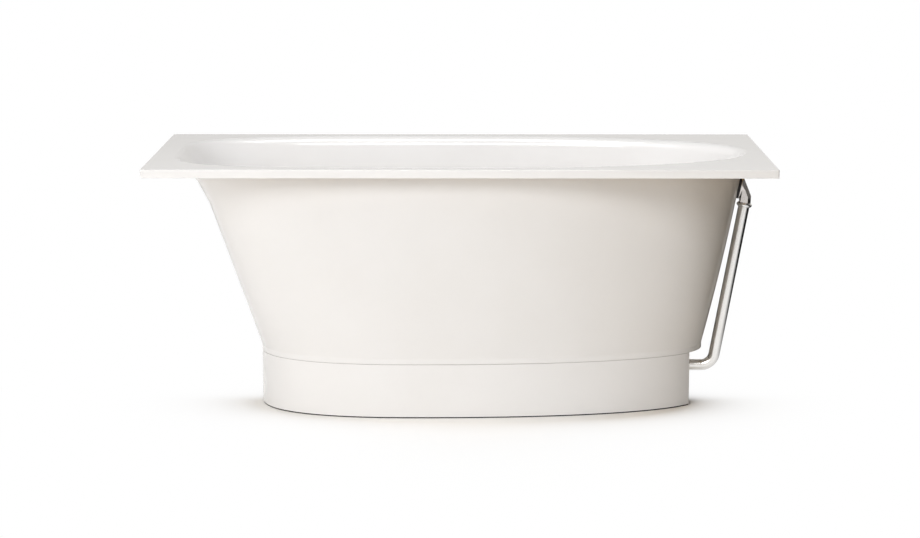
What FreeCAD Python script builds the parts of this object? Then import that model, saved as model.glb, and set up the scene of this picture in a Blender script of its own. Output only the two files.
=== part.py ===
import FreeCAD
import Part
import math
import os

# Bathtub: flat rectangular rim, egg-shaped basin, flared oval body, oval plinth and outside overflow pipe.
# Millimetres. Origin on the floor under the middle of the rim, +X towards the overflow (foot) end,
# +Y towards the rear, +Z up.

# Rim
RIM_LENGTH = 1500.0
RIM_WIDTH = 700.0
TUB_HEIGHT = 625.0
RIM_EDGE = 20.0
RIM_WALL = 5.0
RIM_CORNER_ROUND = 3.0
RIM_TOP_ROUND = 1.5
LIP_ROUND = 27.0

# Body outline under the rim, measured in from the rim's ends and sides, without the head's flare
BODY_HEAD_INSET = 103.5
BODY_FOOT_INSET = 48.0
BODY_SIDE_INSET = 42.0
HEAD_POWER_TOP = 4.0
HEAD_POWER_BASE = 2.5
FOOT_POWER = 2.2

# How far the body draws in from the rim down to its foot, and the head's flare below the rim's top
HEAD_TAPER = 151.0
HEAD_FLARE = 61.0
FLARE_DEPTH = 121.4
FOOT_TAPER = 97.0
SIDE_TAPER = 75.5
WALL_BULGE = 5.0
WIDEST_SHIFT = 104.0

# Walls
OUTER_WALL = 5.0
SHELL_GAP = 4.0
BASIN_WALL = 5.0
BASIN_FLOOR = 6.0
COVE_RADIUS = 60.0
SKIN_TUCK = 2.0
FRAME_CLEARANCE = 0.4
FRAME_LEDGE = 7.0

# Body foot
LIP_HEIGHT = 14.0
LIP_EDGE_ROUND = 2.0
RETURN_WIDTH = 45.0
RETURN_WALL = 5.0
BOARD_THICKNESS = 15.0
BOARD_CLEARANCE = 0.5

# Plinth
PLINTH_HEIGHT = 132.5
PLINTH_WALL = 6.0
PLINTH_SETBACK = 0.5
PLINTH_END_SETBACK = 35.5
SEAM_GAP = 0.5
SEAL_HEIGHT = 3.0
SEAL_WIDTH = 4.0
SEAL_SETBACK = 1.0

# Plinth clips
CLIP_WIDTH = 30.0
CLIP_LEG = 30.0
CLIP_DROP = 28.0
CLIP_GAUGE = 2.0
CLIP_WALL_GAP = 0.5
CLIP_ANGLES = (65.0, 115.0, 180.0, 245.0, 295.0)
CLIP_END_GAP = 4.0

# Rails and feet
RAIL_HEAD_INSET = 167.0
RAIL_FOOT_INSET = 350.0
RAIL_END_GAP = 8.0
RAIL_WEB = 40.0
RAIL_LIP = 20.0
RAIL_HEIGHT = 20.0
RAIL_GAUGE = 2.5
STUD_RADIUS = 6.0
STUD_INSET = 30.0
STUD_TOP_GAP = 0.5
STUD_FIT = 0.05
STUD_HOLE_CLEARANCE = 0.5
NUT_ACROSS_FLATS = 19.0
NUT_HEIGHT = 10.0
PAD_RADIUS = 28.0
PAD_HEIGHT = 14.0
PAD_FLOOR = 5.0
PAD_TOP_RADIUS = 16.0

# Screws
SCREW_RADIUS = 2.5
SCREW_HEAD_RADIUS = 4.5
SCREW_HEAD_HEIGHT = 3.0
SCREW_GRIP = 10.0
SCREW_CLEARANCE = 0.05

# Drain
DRAIN_FROM_FOOT = 175.0
RECESS_DEPTH = 3.0
RECESS_CLEARANCE = 2.0
TOP_WASHER = 1.0
LOWER_WASHER = 3.0
FLANGE_RADIUS = 37.0
FLANGE_THICKNESS = 2.5
SEAT_WIDTH = 4.5
SEAT_DEPTH = 4.0
BARREL_RADIUS = 23.0
BARREL_WALL = 3.0
BARREL_LENGTH = 44.0
BARREL_CLEARANCE = 1.0
THREAD_CLEARANCE = 0.2
HUB_RADIUS = 10.0
HUB_HEIGHT = 8.0
HUB_DROP = 24.0
SPOKE_WIDTH = 3.0
SPOKE_COUNT = 4
TEE_RIM_RADIUS = 39.0
TEE_RIM_HEIGHT = 5.0
TEE_RIM_CLEARANCE = 3.0
TEE_RADIUS = 30.0
TEE_WALL = 5.0
TEE_BELOW_PIPE = 20.0

# Tail pipe below the drain
TAIL_RADIUS = 20.0
TAIL_WALL = 3.0
TAIL_STEP = 1.0
TAIL_NUT_GAP = 0.5
TAIL_FLOOR_GAP = 12.0
TAIL_SOCKET_DEPTH = 12.0
TAIL_SOCKET_WALL = 5.0
TAIL_SEAL = 4.0
TAIL_NUT_LIP = 5.0
TAIL_NUT_WALL = 5.0
TAIL_NUT_GRIP = 8.0
PIPE_FIT = 0.1

# Push plug
PLUG_RADIUS = 30.0
PLUG_THICKNESS = 3.0
PLUG_DOME = 1.5
PLUG_EDGE_ROUND = 0.75
PLUG_SEAL_BORE = 12.0
PLUG_SEAL_THICKNESS = 3.2
PLUG_SEAT_GAP = 0.3
STEM_RADIUS = 4.0
STEM_LENGTH = 40.0
STEM_FIT = 0.05
CARTRIDGE_RADIUS = 7.0
CARTRIDGE_HEIGHT = 30.0
CARTRIDGE_BASE = 3.0
CARTRIDGE_FIT = 0.05
CARTRIDGE_COLLAR_RADIUS = 9.0
CARTRIDGE_COLLAR_HEIGHT = 2.0

# Overflow fitting, measured outwards from the body's wall and down along it
OVERFLOW_DROP = 84.5
OUTER_GASKET = 4.0
OVERFLOW_FLANGE_RADIUS = 33.0
OVERFLOW_FLANGE_THICKNESS = 3.0
NECK_RADIUS = 23.0
PIPE_STANDOFF = 24.6
BACK_SLANT = 32.0
BACK_START_OUT = 10.4
BACK_START_UP = 19.75
BACK_FLAT = 13.0
BACK_BEVEL = 45.0
BACK_WALL = 3.0
OUTLET_DROP = 44.0
SLEEVE_RADIUS = 17.0
SLEEVE_WALL = 2.5
SLEEVE_CLEARANCE = 1.0
SLEEVE_FIT = 0.1
SLEEVE_SOCKET = 4.0
BRIDGE_WIDTH = 8.0
BRIDGE_THICKNESS = 5.0
BRIDGE_SETBACK = 2.5
COLLAR_RADIUS = 19.1
COLLAR_HEIGHT = 11.6
COLLAR_ROUND = 4.0
COLLAR_OVERLAP = 5.0
ROSE_RADIUS = 34.0
ROSE_THICKNESS = 4.0
ROSE_EDGE_ROUND = 1.5
ROSE_SEAT_DEPTH = 6.5
ROSE_GASKET_RADIUS = 30.0
ROSE_HOLE_RADIUS = 2.6
ROSE_HOLE_CIRCLE = 9.8
ROSE_HOLE_COUNT = 6

# Overflow pipe
PIPE_RADIUS = 14.0
PIPE_WALL = 1.5
PIPE_BEND_RADIUS = 33.0
PIPE_HEIGHT = 84.5
PIPE_SEAL = 2.0
GROMMET_WALL = 3.0
GROMMET_FLANGE = 4.0
GROMMET_FLANGE_THICKNESS = 2.0
UNION_STUB = 32.0
UNION_STUB_WALL = 4.0
UNION_INSERT = 16.0
UNION_SEAL = 4.0
UNION_NUT_WALL = 5.0
UNION_NUT_LIP = 4.0
UNION_NUT_GRIP = 14.0

# Drawing detail of the ovals
OVAL_POINTS = 36
LOFT_LEVELS = 17
FLARE_POWER = 3
MARGIN = 50.0

# Heights that follow from the sizes above
base_height = PLINTH_HEIGHT + SEAM_GAP
lip_top = base_height + LIP_HEIGHT
rim_underside = TUB_HEIGHT - RIM_EDGE
deck_underside = TUB_HEIGHT - RIM_WALL
board_bottom = base_height + RETURN_WALL
board_top = board_bottom + BOARD_THICKNESS
basin_floor_top = board_top + BASIN_FLOOR
wall_build_up = OUTER_WALL + SHELL_GAP + BASIN_WALL

# Reach of the body's lip from the middle of the rim
lip_head = RIM_LENGTH / 2 - BODY_HEAD_INSET - HEAD_TAPER
lip_foot = RIM_LENGTH / 2 - BODY_FOOT_INSET - FOOT_TAPER
lip_side = RIM_WIDTH / 2 - BODY_SIDE_INSET - SIDE_TAPER

Vector = FreeCAD.Vector
UP = Vector(0, 0, 1)
DOWN = Vector(0, 0, -1)
FOOTWARD = Vector(1, 0, 0)
HEADWARD = Vector(-1, 0, 0)
ORIGIN = Vector(0, 0, 0)
QUARTER_TURN = math.pi / 2


def save(name, *solids):
    """Write one node, as a single solid or as a group of like solids."""
    shape = solids[0] if len(solids) == 1 else Part.makeCompound(solids)
    shape.exportStep("parts/" + name + ".step")


def cylinder(radius, start, direction, length):
    return Part.makeCylinder(radius, length, start, direction)


def ring(outer, inner, start, direction, length):
    return cylinder(outer, start, direction, length).cut(cylinder(inner, start, direction, length))


def block(x_range, y_range, z_range):
    """Box between two limits on each axis."""
    corner = Vector(x_range[0], y_range[0], z_range[0])
    size = [high - low for low, high in (x_range, y_range, z_range)]
    return Part.makeBox(size[0], size[1], size[2], corner)


def turned(outline, axis_x):
    """Solid turned about an upright axis from (radius, height) corners."""
    corners = [Vector(radius, 0, height) for radius, height in outline]
    face = Part.Face(Part.makePolygon(corners + corners[:1]))
    solid = face.revolve(ORIGIN, UP, 360)
    solid.translate(Vector(axis_x, 0, 0))
    return solid


def hexagon(across_flats, bore, start, height):
    """Upright hexagon nut with a round bore."""
    corner_radius = across_flats / 2 / math.cos(math.pi / 6)
    sixth = math.pi / 3
    corners = [
        start + Vector(corner_radius * math.cos(turn * sixth), corner_radius * math.sin(turn * sixth), 0)
        for turn in range(6)
    ]
    nut = Part.Face(Part.makePolygon(corners + corners[:1])).extrude(UP * height)
    return nut.cut(cylinder(bore, start, UP, height))


def level_edges(shape, height, low_reach, high_reach):
    """Edges of a shape that lie at one height, with their far X end between two limits."""
    tolerance = 0.01
    found = []
    for edge in shape.Edges:
        box = edge.BoundBox
        level = abs(box.ZMin - height) < tolerance and abs(box.ZMax - height) < tolerance
        if level and low_reach < box.XMax < high_reach:
            found.append(edge)
    return found


# The body's oval: an egg-shaped curve whose reach and squareness change with height


def body_reach(height):
    """Head, foot and side reach of the body's outside at a height."""
    rise = (height - lip_top) / (rim_underside - lip_top)
    bulge = 4 * WALL_BULGE * rise * (1 - rise)
    flare_share = max(0.0, (height - TUB_HEIGHT + FLARE_DEPTH) / FLARE_DEPTH)
    head = lip_head + HEAD_TAPER * rise + HEAD_FLARE * flare_share ** FLARE_POWER
    foot = lip_foot + FOOT_TAPER * rise + bulge
    side = lip_side + SIDE_TAPER * rise + bulge
    return head, foot, side


def body_shape(height):
    """Widest point and head-end squareness of the body's oval at a height."""
    rise = (height - lip_top) / (rim_underside - lip_top)
    widest_x = -WIDEST_SHIFT * (1 - rise)
    head_power = HEAD_POWER_BASE + (HEAD_POWER_TOP - HEAD_POWER_BASE) * rise
    return widest_x, head_power


def oval_point(height, inset, turn):
    """Point of the oval at a turn angle from the foot end, as X and Y."""
    head, foot, side = body_reach(height)
    widest_x, head_power = body_shape(height)
    across = math.cos(turn)
    along = math.sin(turn)
    power = FOOT_POWER if across > 0 else head_power
    reach = foot - inset - widest_x if across > 0 else head - inset + widest_x
    swell = (abs(across) ** power + abs(along) ** power) ** (-1 / power)
    return widest_x + reach * across * swell, (side - inset) * along * swell


def oval_wire(height, inset, level):
    """Closed smooth curve of the oval at a body height, drawn at a level."""
    points = []
    for index in range(OVAL_POINTS):
        x, y = oval_point(height, inset, QUARTER_TURN + 2 * math.pi * index / OVAL_POINTS)
        points.append(Vector(x, y, level))
    curve = Part.BSplineCurve()
    steps = [float(index) for index in range(OVAL_POINTS + 1)]
    curve.interpolate(Points=points, PeriodicFlag=True, Parameters=steps)
    return Part.Wire([curve.toShape()])


def oval_prism(height, inset, bottom, top):
    """Upright prism on the oval of one body height."""
    return Part.Face(oval_wire(height, inset, bottom)).extrude(UP * (top - bottom))


def body_loft(inset, bottom, top):
    """Solid that follows the body's flared wall between two heights."""
    step = (top - bottom) / (LOFT_LEVELS - 1)
    heights = [bottom + step * index for index in range(LOFT_LEVELS)]
    return Part.makeLoft([oval_wire(height, inset, height) for height in heights], True, False)


def half_width_at(x, inset):
    """Half width of the lip's oval at an X place."""
    head, foot, side = body_reach(lip_top)
    widest_x, head_power = body_shape(lip_top)
    power = FOOT_POWER if x > widest_x else head_power
    reach = foot - inset - widest_x if x > widest_x else head - inset + widest_x
    return (side - inset) * (1 - (abs(x - widest_x) / reach) ** power) ** (1 / power)


# Places of the drain, the rails and the overflow
drain_x = lip_foot - DRAIN_FROM_FOOT
drain_recess = basin_floor_top - RECESS_DEPTH
flange_bottom = drain_recess + TOP_WASHER
flange_top = flange_bottom + FLANGE_THICKNESS
barrel_bottom = flange_bottom - BARREL_LENGTH
barrel_bore = BARREL_RADIUS - BARREL_WALL
tee_top = board_top - LOWER_WASHER
tail_neck = TAIL_RADIUS - TAIL_STEP
tail_socket = tail_neck + TAIL_SOCKET_WALL
board_hole = TEE_RIM_RADIUS + TEE_RIM_CLEARANCE
plinth_end = lip_foot - PLINTH_END_SETBACK

overflow_height = TUB_HEIGHT - OVERFLOW_DROP
slope_step = 1.0
slope_rise = body_reach(overflow_height + slope_step)[1] - body_reach(overflow_height - slope_step)[1]
overflow_tilt = math.atan2(slope_rise, 2 * slope_step)
overflow_out = Vector(math.cos(overflow_tilt), 0, -math.sin(overflow_tilt))
overflow_down = Vector(-math.sin(overflow_tilt), 0, -math.cos(overflow_tilt))
overflow_centre = Vector(body_reach(overflow_height)[1], 0, overflow_height)
bridge_out = OUTER_GASKET + OVERFLOW_FLANGE_THICKNESS + BRIDGE_SETBACK


def overflow_place(out, down):
    """Point of the overflow fitting, out from the wall and down along it."""
    return overflow_centre + overflow_out * out + overflow_down * down


def overflow_bore(radius):
    """Cylinder on the overflow's axis, through both walls."""
    length = wall_build_up + COVE_RADIUS
    return cylinder(radius, overflow_place(-length + MARGIN / 2, 0), overflow_out, length)


# Screws are placed first, because the boards and rails take their holes
rail_places = (-lip_head + RAIL_HEAD_INSET, lip_foot - RAIL_FOOT_INSET)
rail_edge = RAIL_WEB / 2 + RAIL_LIP
screw_side = RAIL_WEB / 2 + RAIL_LIP / 2
rail_halves = [
    min(half_width_at(x - rail_edge, RETURN_WIDTH), half_width_at(x + rail_edge, RETURN_WIDTH)) - RAIL_END_GAP
    for x in rail_places
]
grommet_reach = PIPE_RADIUS + GROMMET_WALL + GROMMET_FLANGE


def rail_screw_places(rail):
    """Places of one rail's four screws, on its two lips."""
    y = rail_halves[rail] - STUD_INSET
    return [(rail_places[rail] + sx * screw_side, sy * y) for sx in (-1, 1) for sy in (-1, 1)]


def clip_frames():
    """Place on the plinth's inside and the outward direction of each clip."""
    inset = PLINTH_SETBACK + PLINTH_WALL + CLIP_WALL_GAP
    frames = []
    for degrees in CLIP_ANGLES:
        turn = math.radians(degrees)
        small = 0.01
        x, y = oval_point(lip_top, inset, turn)
        x_after, y_after = oval_point(lip_top, inset, turn + small)
        x_before, y_before = oval_point(lip_top, inset, turn - small)
        outward = Vector(y_after - y_before, x_before - x_after, 0).normalize()
        frames.append((Vector(x, y, base_height), outward))
    end_x = plinth_end - PLINTH_WALL - CLIP_WALL_GAP
    end_y = grommet_reach + CLIP_END_GAP + CLIP_WIDTH / 2
    for side in (-1, 1):
        frames.append((Vector(end_x, side * end_y, base_height), FOOTWARD))
    return frames


def screw(place, seat, grip):
    """Screw from below: head under the seat height, shank up into the board."""
    seat_point = Vector(place[0], place[1], seat)
    head = cylinder(SCREW_HEAD_RADIUS, seat_point, DOWN, SCREW_HEAD_HEIGHT)
    shank = cylinder(SCREW_RADIUS, seat_point, UP, grip)
    return head.fuse(shank).removeSplitter()


def screw_hole(place, bottom, top):
    return cylinder(SCREW_RADIUS + SCREW_CLEARANCE, Vector(place[0], place[1], bottom), UP, top - bottom)


def clip_screw_place(frame):
    """Middle of a clip's level leg."""
    place, outward = frame
    middle = place - outward * (CLIP_LEG / 2)
    return middle.x, middle.y


def build_bath_shell():
    """Rim deck with its turned-down edge, and the basin, as one moulding."""
    half_length = RIM_LENGTH / 2
    half_width = RIM_WIDTH / 2
    rim = block((-half_length, half_length), (-half_width, half_width), (rim_underside, TUB_HEIGHT))
    uprights = [edge for edge in rim.Edges if edge.BoundBox.ZLength > RIM_EDGE / 2]
    rim = rim.makeFillet(RIM_CORNER_ROUND, uprights)
    rim = rim.makeFillet(RIM_TOP_ROUND, level_edges(rim, TUB_HEIGHT, -RIM_LENGTH, RIM_LENGTH))
    inner_length = half_length - RIM_WALL
    inner_width = half_width - RIM_WALL
    underside = block(
        (-inner_length, inner_length), (-inner_width, inner_width), (rim_underside - MARGIN, deck_underside)
    )
    basin_outside = body_loft(OUTER_WALL + SHELL_GAP, board_top, deck_underside)
    floor_edges = level_edges(basin_outside, board_top, 0, RIM_LENGTH)
    basin_outside = basin_outside.makeFillet(COVE_RADIUS + BASIN_WALL, floor_edges)
    deck_top = TUB_HEIGHT + MARGIN
    deck = block((-half_length, half_length), (-half_width, half_width), (deck_underside, deck_top))
    form = deck.fuse(basin_outside)
    lip_edges = level_edges(form, deck_underside, 0, half_length - RIM_WALL)
    form = form.makeFillet(LIP_ROUND - BASIN_WALL, lip_edges)

    cavity = body_loft(wall_build_up, basin_floor_top, TUB_HEIGHT)
    cavity = cavity.makeFillet(COVE_RADIUS, level_edges(cavity, basin_floor_top, 0, RIM_LENGTH))
    above = block((-RIM_LENGTH, RIM_LENGTH), (-RIM_WIDTH, RIM_WIDTH), (TUB_HEIGHT, TUB_HEIGHT + 2 * MARGIN))
    cavity = above.fuse(cavity)
    cavity = cavity.makeFillet(LIP_ROUND, level_edges(cavity, TUB_HEIGHT, 0, half_length))

    below_top = block((-RIM_LENGTH, RIM_LENGTH), (-RIM_WIDTH, RIM_WIDTH), (0, deck_underside))
    recess = cylinder(FLANGE_RADIUS + RECESS_CLEARANCE, Vector(drain_x, 0, drain_recess), UP, MARGIN)
    drain_hole = cylinder(BARREL_RADIUS + BARREL_CLEARANCE, Vector(drain_x, 0, board_bottom), UP, MARGIN)
    overflow_hole = overflow_bore(SLEEVE_RADIUS + SLEEVE_CLEARANCE)
    shell = rim.cut(underside).fuse(form.common(below_top))
    return shell.cut([cavity, recess, drain_hole, overflow_hole]), cavity


def build_rim_frame():
    """Board frame under the rim's deck, cut out round the body's wall."""
    x = RIM_LENGTH / 2 - RIM_WALL - FRAME_CLEARANCE
    y = RIM_WIDTH / 2 - RIM_WALL - FRAME_CLEARANCE
    frame = block((-x, x), (-y, y), (rim_underside, deck_underside))
    body = body_loft(-FRAME_CLEARANCE, lip_top, TUB_HEIGHT)
    ledge_top = rim_underside + FRAME_LEDGE
    upper_hole = oval_prism(TUB_HEIGHT, wall_build_up - LIP_ROUND, ledge_top, TUB_HEIGHT)
    return frame.cut([body, upper_hole])


def build_outer_shell():
    """Flared outside wall with an upright lip and a return flange at its foot."""
    outside = body_loft(0, lip_top, TUB_HEIGHT)
    lip = oval_prism(lip_top, 0, base_height, lip_top)
    lip = lip.makeFillet(LIP_EDGE_ROUND, level_edges(lip, base_height, 0, RIM_LENGTH))
    inside = body_loft(OUTER_WALL, lip_top, TUB_HEIGHT)
    lip_inside = oval_prism(lip_top, OUTER_WALL, board_bottom, lip_top)
    opening = oval_prism(lip_top, RETURN_WIDTH, base_height, board_bottom)
    skin_top = rim_underside + SKIN_TUCK
    above = block((-RIM_LENGTH, RIM_LENGTH), (-RIM_WIDTH, RIM_WIDTH), (skin_top, TUB_HEIGHT + MARGIN))
    overflow_hole = overflow_bore(SLEEVE_RADIUS + SLEEVE_CLEARANCE)
    holes = [screw_hole(clip_screw_place(frame), base_height, board_bottom) for frame in clip_frames()]
    return lip.fuse(outside).cut([inside.fuse(lip_inside), opening, above, overflow_hole] + holes)


def build_base_board():
    """Board on the return flange, under the basin's floor."""
    board = oval_prism(lip_top, OUTER_WALL + BOARD_CLEARANCE, board_bottom, board_top)
    places = [clip_screw_place(frame) for frame in clip_frames()]
    for rail in range(len(rail_places)):
        places = places + rail_screw_places(rail)
    holes = [screw_hole(place, board_bottom, board_bottom + SCREW_GRIP) for place in places]
    drain_hole = cylinder(board_hole, Vector(drain_x, 0, board_bottom), UP, BOARD_THICKNESS)
    return board.cut(holes + [drain_hole])


def plinth_form(inset, end_x, bottom, top):
    """Oval prism with its foot end cut flat."""
    prism = oval_prism(lip_top, inset, bottom, top)
    return prism.common(block((-RIM_LENGTH, end_x), (-RIM_WIDTH, RIM_WIDTH), (bottom, top)))


def build_plinth():
    """Plinth wall with a hole for the pipe in its flat end."""
    outside = plinth_form(PLINTH_SETBACK, plinth_end, SEAL_HEIGHT, PLINTH_HEIGHT)
    inside = plinth_form(PLINTH_SETBACK + PLINTH_WALL, plinth_end - PLINTH_WALL, SEAL_HEIGHT, PLINTH_HEIGHT)
    hole_start = Vector(plinth_end + MARGIN, 0, PIPE_HEIGHT)
    pipe_hole = cylinder(PIPE_RADIUS + GROMMET_WALL, hole_start, HEADWARD, 2 * MARGIN)
    return outside.cut(inside).cut(pipe_hole)


def build_plinth_seal():
    """Rubber strip between the plinth and the floor."""
    outer_inset = PLINTH_SETBACK + SEAL_SETBACK
    outer_end = plinth_end - SEAL_SETBACK
    outside = plinth_form(outer_inset, outer_end, 0, SEAL_HEIGHT)
    return outside.cut(plinth_form(outer_inset + SEAL_WIDTH, outer_end - SEAL_WIDTH, 0, SEAL_HEIGHT))


def build_clip(frame):
    """Steel angle: one leg under the return flange, one down the plinth's inside."""
    place, outward = frame
    level_leg = block((-CLIP_LEG, 0), (-CLIP_WIDTH / 2, CLIP_WIDTH / 2), (-CLIP_GAUGE, 0))
    upright_leg = block((-CLIP_GAUGE, 0), (-CLIP_WIDTH / 2, CLIP_WIDTH / 2), (-CLIP_DROP, 0))
    clip = level_leg.fuse(upright_leg).removeSplitter()
    hole_start = Vector(-CLIP_LEG / 2, 0, -MARGIN)
    clip = clip.cut(cylinder(SCREW_RADIUS + SCREW_CLEARANCE, hole_start, UP, 2 * MARGIN))
    clip.rotate(ORIGIN, UP, math.degrees(math.atan2(outward.y, outward.x)))
    clip.translate(place)
    return clip


def build_rail(rail):
    """Hat-shaped steel rail across the tub, with stud and screw holes."""
    x = rail_places[rail]
    half = rail_halves[rail]
    web = RAIL_WEB / 2
    edge = rail_edge
    drop = board_bottom - RAIL_HEIGHT
    gauge = RAIL_GAUGE
    inner = web - gauge
    under = board_bottom - gauge
    half_outline = [
        (inner, drop + gauge), (inner, board_bottom), (edge, board_bottom),
        (edge, under), (web, under), (web, drop),
    ]
    mirrored = [(-across, height) for across, height in reversed(half_outline)]
    corners = [Vector(x + across, -half, height) for across, height in half_outline + mirrored]
    solid = Part.Face(Part.makePolygon(corners + corners[:1])).extrude(Vector(0, 2 * half, 0))
    for place in rail_screw_places(rail):
        solid = solid.cut(screw_hole(place, drop, board_bottom))
    for side in (-1, 1):
        start = Vector(x, side * (half - STUD_INSET), drop - gauge)
        solid = solid.cut(cylinder(STUD_RADIUS + STUD_HOLE_CLEARANCE, start, UP, 3 * gauge))
    return solid


def build_stud(x, y):
    """Threaded foot stud, from its pad up to just under the board."""
    length = board_bottom - STUD_TOP_GAP - PAD_FLOOR
    return cylinder(STUD_RADIUS, Vector(x, y, PAD_FLOOR), UP, length)


def build_pad(x, y):
    """Foot pad with a socket for the stud."""
    outline = [
        (0, 0), (PAD_RADIUS, 0), (PAD_RADIUS, PAD_FLOOR), (PAD_TOP_RADIUS, PAD_HEIGHT),
        (STUD_RADIUS + STUD_FIT, PAD_HEIGHT), (STUD_RADIUS + STUD_FIT, PAD_FLOOR), (0, PAD_FLOOR),
    ]
    pad = turned(outline, x)
    pad.translate(Vector(0, y, 0))
    return pad


def build_rail_nuts():
    """A nut above and a lock nut below the web at each stud."""
    web_bottom = board_bottom - RAIL_HEIGHT
    levels = (web_bottom + RAIL_GAUGE, web_bottom - NUT_HEIGHT)
    nuts = []
    for x, half in zip(rail_places, rail_halves):
        for side in (-1, 1):
            for level in levels:
                start = Vector(x, side * (half - STUD_INSET), level)
                nuts.append(hexagon(NUT_ACROSS_FLATS, STUD_RADIUS + STUD_FIT, start, NUT_HEIGHT))
    return nuts


def build_waste_flange():
    """Drain flange with a dished seat, a threaded barrel and a spoked hub."""
    seat_bottom = flange_top - SEAT_DEPTH
    outline = [
        (FLANGE_RADIUS, flange_bottom), (FLANGE_RADIUS, flange_top), (barrel_bore + SEAT_WIDTH, flange_top),
        (barrel_bore, seat_bottom), (barrel_bore, barrel_bottom), (BARREL_RADIUS, barrel_bottom),
        (BARREL_RADIUS, flange_bottom),
    ]
    flange = turned(outline, drain_x)
    hub_bottom = flange_bottom - HUB_DROP
    hub_start = Vector(drain_x, 0, hub_bottom)
    spoke_reach = BARREL_RADIUS - BARREL_WALL / 2
    for index in range(SPOKE_COUNT):
        spoke = block((0, spoke_reach), (-SPOKE_WIDTH / 2, SPOKE_WIDTH / 2), (0, HUB_HEIGHT))
        spoke.rotate(ORIGIN, UP, 360 * index / SPOKE_COUNT)
        spoke.translate(hub_start)
        flange = flange.fuse(spoke)
    flange = flange.fuse(cylinder(HUB_RADIUS, hub_start, UP, HUB_HEIGHT))
    bore = cylinder(CARTRIDGE_RADIUS + CARTRIDGE_FIT, hub_start - UP * MARGIN, UP, 2 * MARGIN)
    return flange.cut(bore).removeSplitter()


def build_waste_tee():
    """Drain body: clamped under the floor, with the overflow's inlet and a tail socket."""
    chamber_bottom = PIPE_HEIGHT - TEE_BELOW_PIPE
    rim = cylinder(TEE_RIM_RADIUS, Vector(drain_x, 0, tee_top - TEE_RIM_HEIGHT), UP, TEE_RIM_HEIGHT)
    chamber = cylinder(TEE_RADIUS, Vector(drain_x, 0, chamber_bottom), UP, tee_top - chamber_bottom)
    socket = cylinder(tail_socket, Vector(drain_x, 0, chamber_bottom), DOWN, TAIL_SOCKET_DEPTH)
    stub_radius = PIPE_RADIUS + UNION_STUB_WALL
    stub = cylinder(stub_radius, Vector(drain_x, 0, PIPE_HEIGHT), FOOTWARD, TEE_RADIUS + UNION_STUB)
    tee = rim.fuse(chamber).fuse(socket).fuse(stub)
    thread_bore = BARREL_RADIUS + THREAD_CLEARANCE
    inside_radius = TEE_RADIUS - TEE_WALL
    thread_depth = tee_top - barrel_bottom + TOP_WASHER
    tee = tee.cut(cylinder(thread_bore, Vector(drain_x, 0, tee_top), DOWN, thread_depth))
    chamber_floor = Vector(drain_x, 0, chamber_bottom + TEE_WALL)
    tee = tee.cut(cylinder(inside_radius, chamber_floor, UP, barrel_bottom - chamber_floor.z))
    outlet_bore = TAIL_RADIUS - TAIL_WALL
    tee = tee.cut(cylinder(outlet_bore, chamber_floor, DOWN, MARGIN))
    tee = tee.cut(cylinder(tail_neck + PIPE_FIT, Vector(drain_x, 0, chamber_bottom), DOWN, MARGIN))
    stub_length = TEE_RADIUS + UNION_STUB
    inlet_bore = PIPE_RADIUS - PIPE_WALL
    tee = tee.cut(cylinder(inlet_bore, Vector(drain_x, 0, PIPE_HEIGHT), FOOTWARD, stub_length))
    insert_start = Vector(drain_x + stub_length, 0, PIPE_HEIGHT)
    return tee.cut(cylinder(PIPE_RADIUS + PIPE_FIT, insert_start, HEADWARD, UNION_INSERT)).removeSplitter()


def save_drain():
    """Flange, washers, tee, tail and the push plug."""
    drain_axis = Vector(drain_x, 0, 0)
    barrel_hole = BARREL_RADIUS + BARREL_CLEARANCE
    save("waste_flange", build_waste_flange())
    save("waste_top_washer", ring(FLANGE_RADIUS, barrel_hole, drain_axis + UP * drain_recess, UP, TOP_WASHER))
    save("waste_lower_washer", ring(TEE_RIM_RADIUS, barrel_hole, drain_axis + UP * tee_top, UP, LOWER_WASHER))
    save("waste_tee", build_waste_tee())

    tail_top = PIPE_HEIGHT - TEE_BELOW_PIPE
    seal_bottom = tail_top - TAIL_SOCKET_DEPTH - TAIL_SEAL
    nut_bottom = seal_bottom - TAIL_NUT_LIP
    spigot_length = nut_bottom - TAIL_NUT_GAP - TAIL_FLOOR_GAP
    tail_start = drain_axis + UP * TAIL_FLOOR_GAP
    tail = cylinder(tail_neck, tail_start, UP, tail_top - TAIL_FLOOR_GAP)
    tail = tail.fuse(cylinder(TAIL_RADIUS, tail_start, UP, spigot_length)).removeSplitter()
    save("tail_pipe", tail.cut(cylinder(TAIL_RADIUS - TAIL_WALL, tail_start, UP, tail_top)))
    seal_start = drain_axis + UP * seal_bottom
    save("tail_seal", ring(tail_socket, tail_neck + PIPE_FIT, seal_start, UP, TAIL_SEAL))
    nut_height = TAIL_NUT_LIP + TAIL_SEAL + TAIL_NUT_GRIP
    nut = cylinder(tail_socket + TAIL_NUT_WALL, drain_axis + UP * nut_bottom, UP, nut_height)
    nut = nut.cut(cylinder(tail_socket + THREAD_CLEARANCE, seal_start, UP, MARGIN))
    save("tail_nut", nut.cut(cylinder(tail_neck + PIPE_FIT, drain_axis, UP, MARGIN)))


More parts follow.
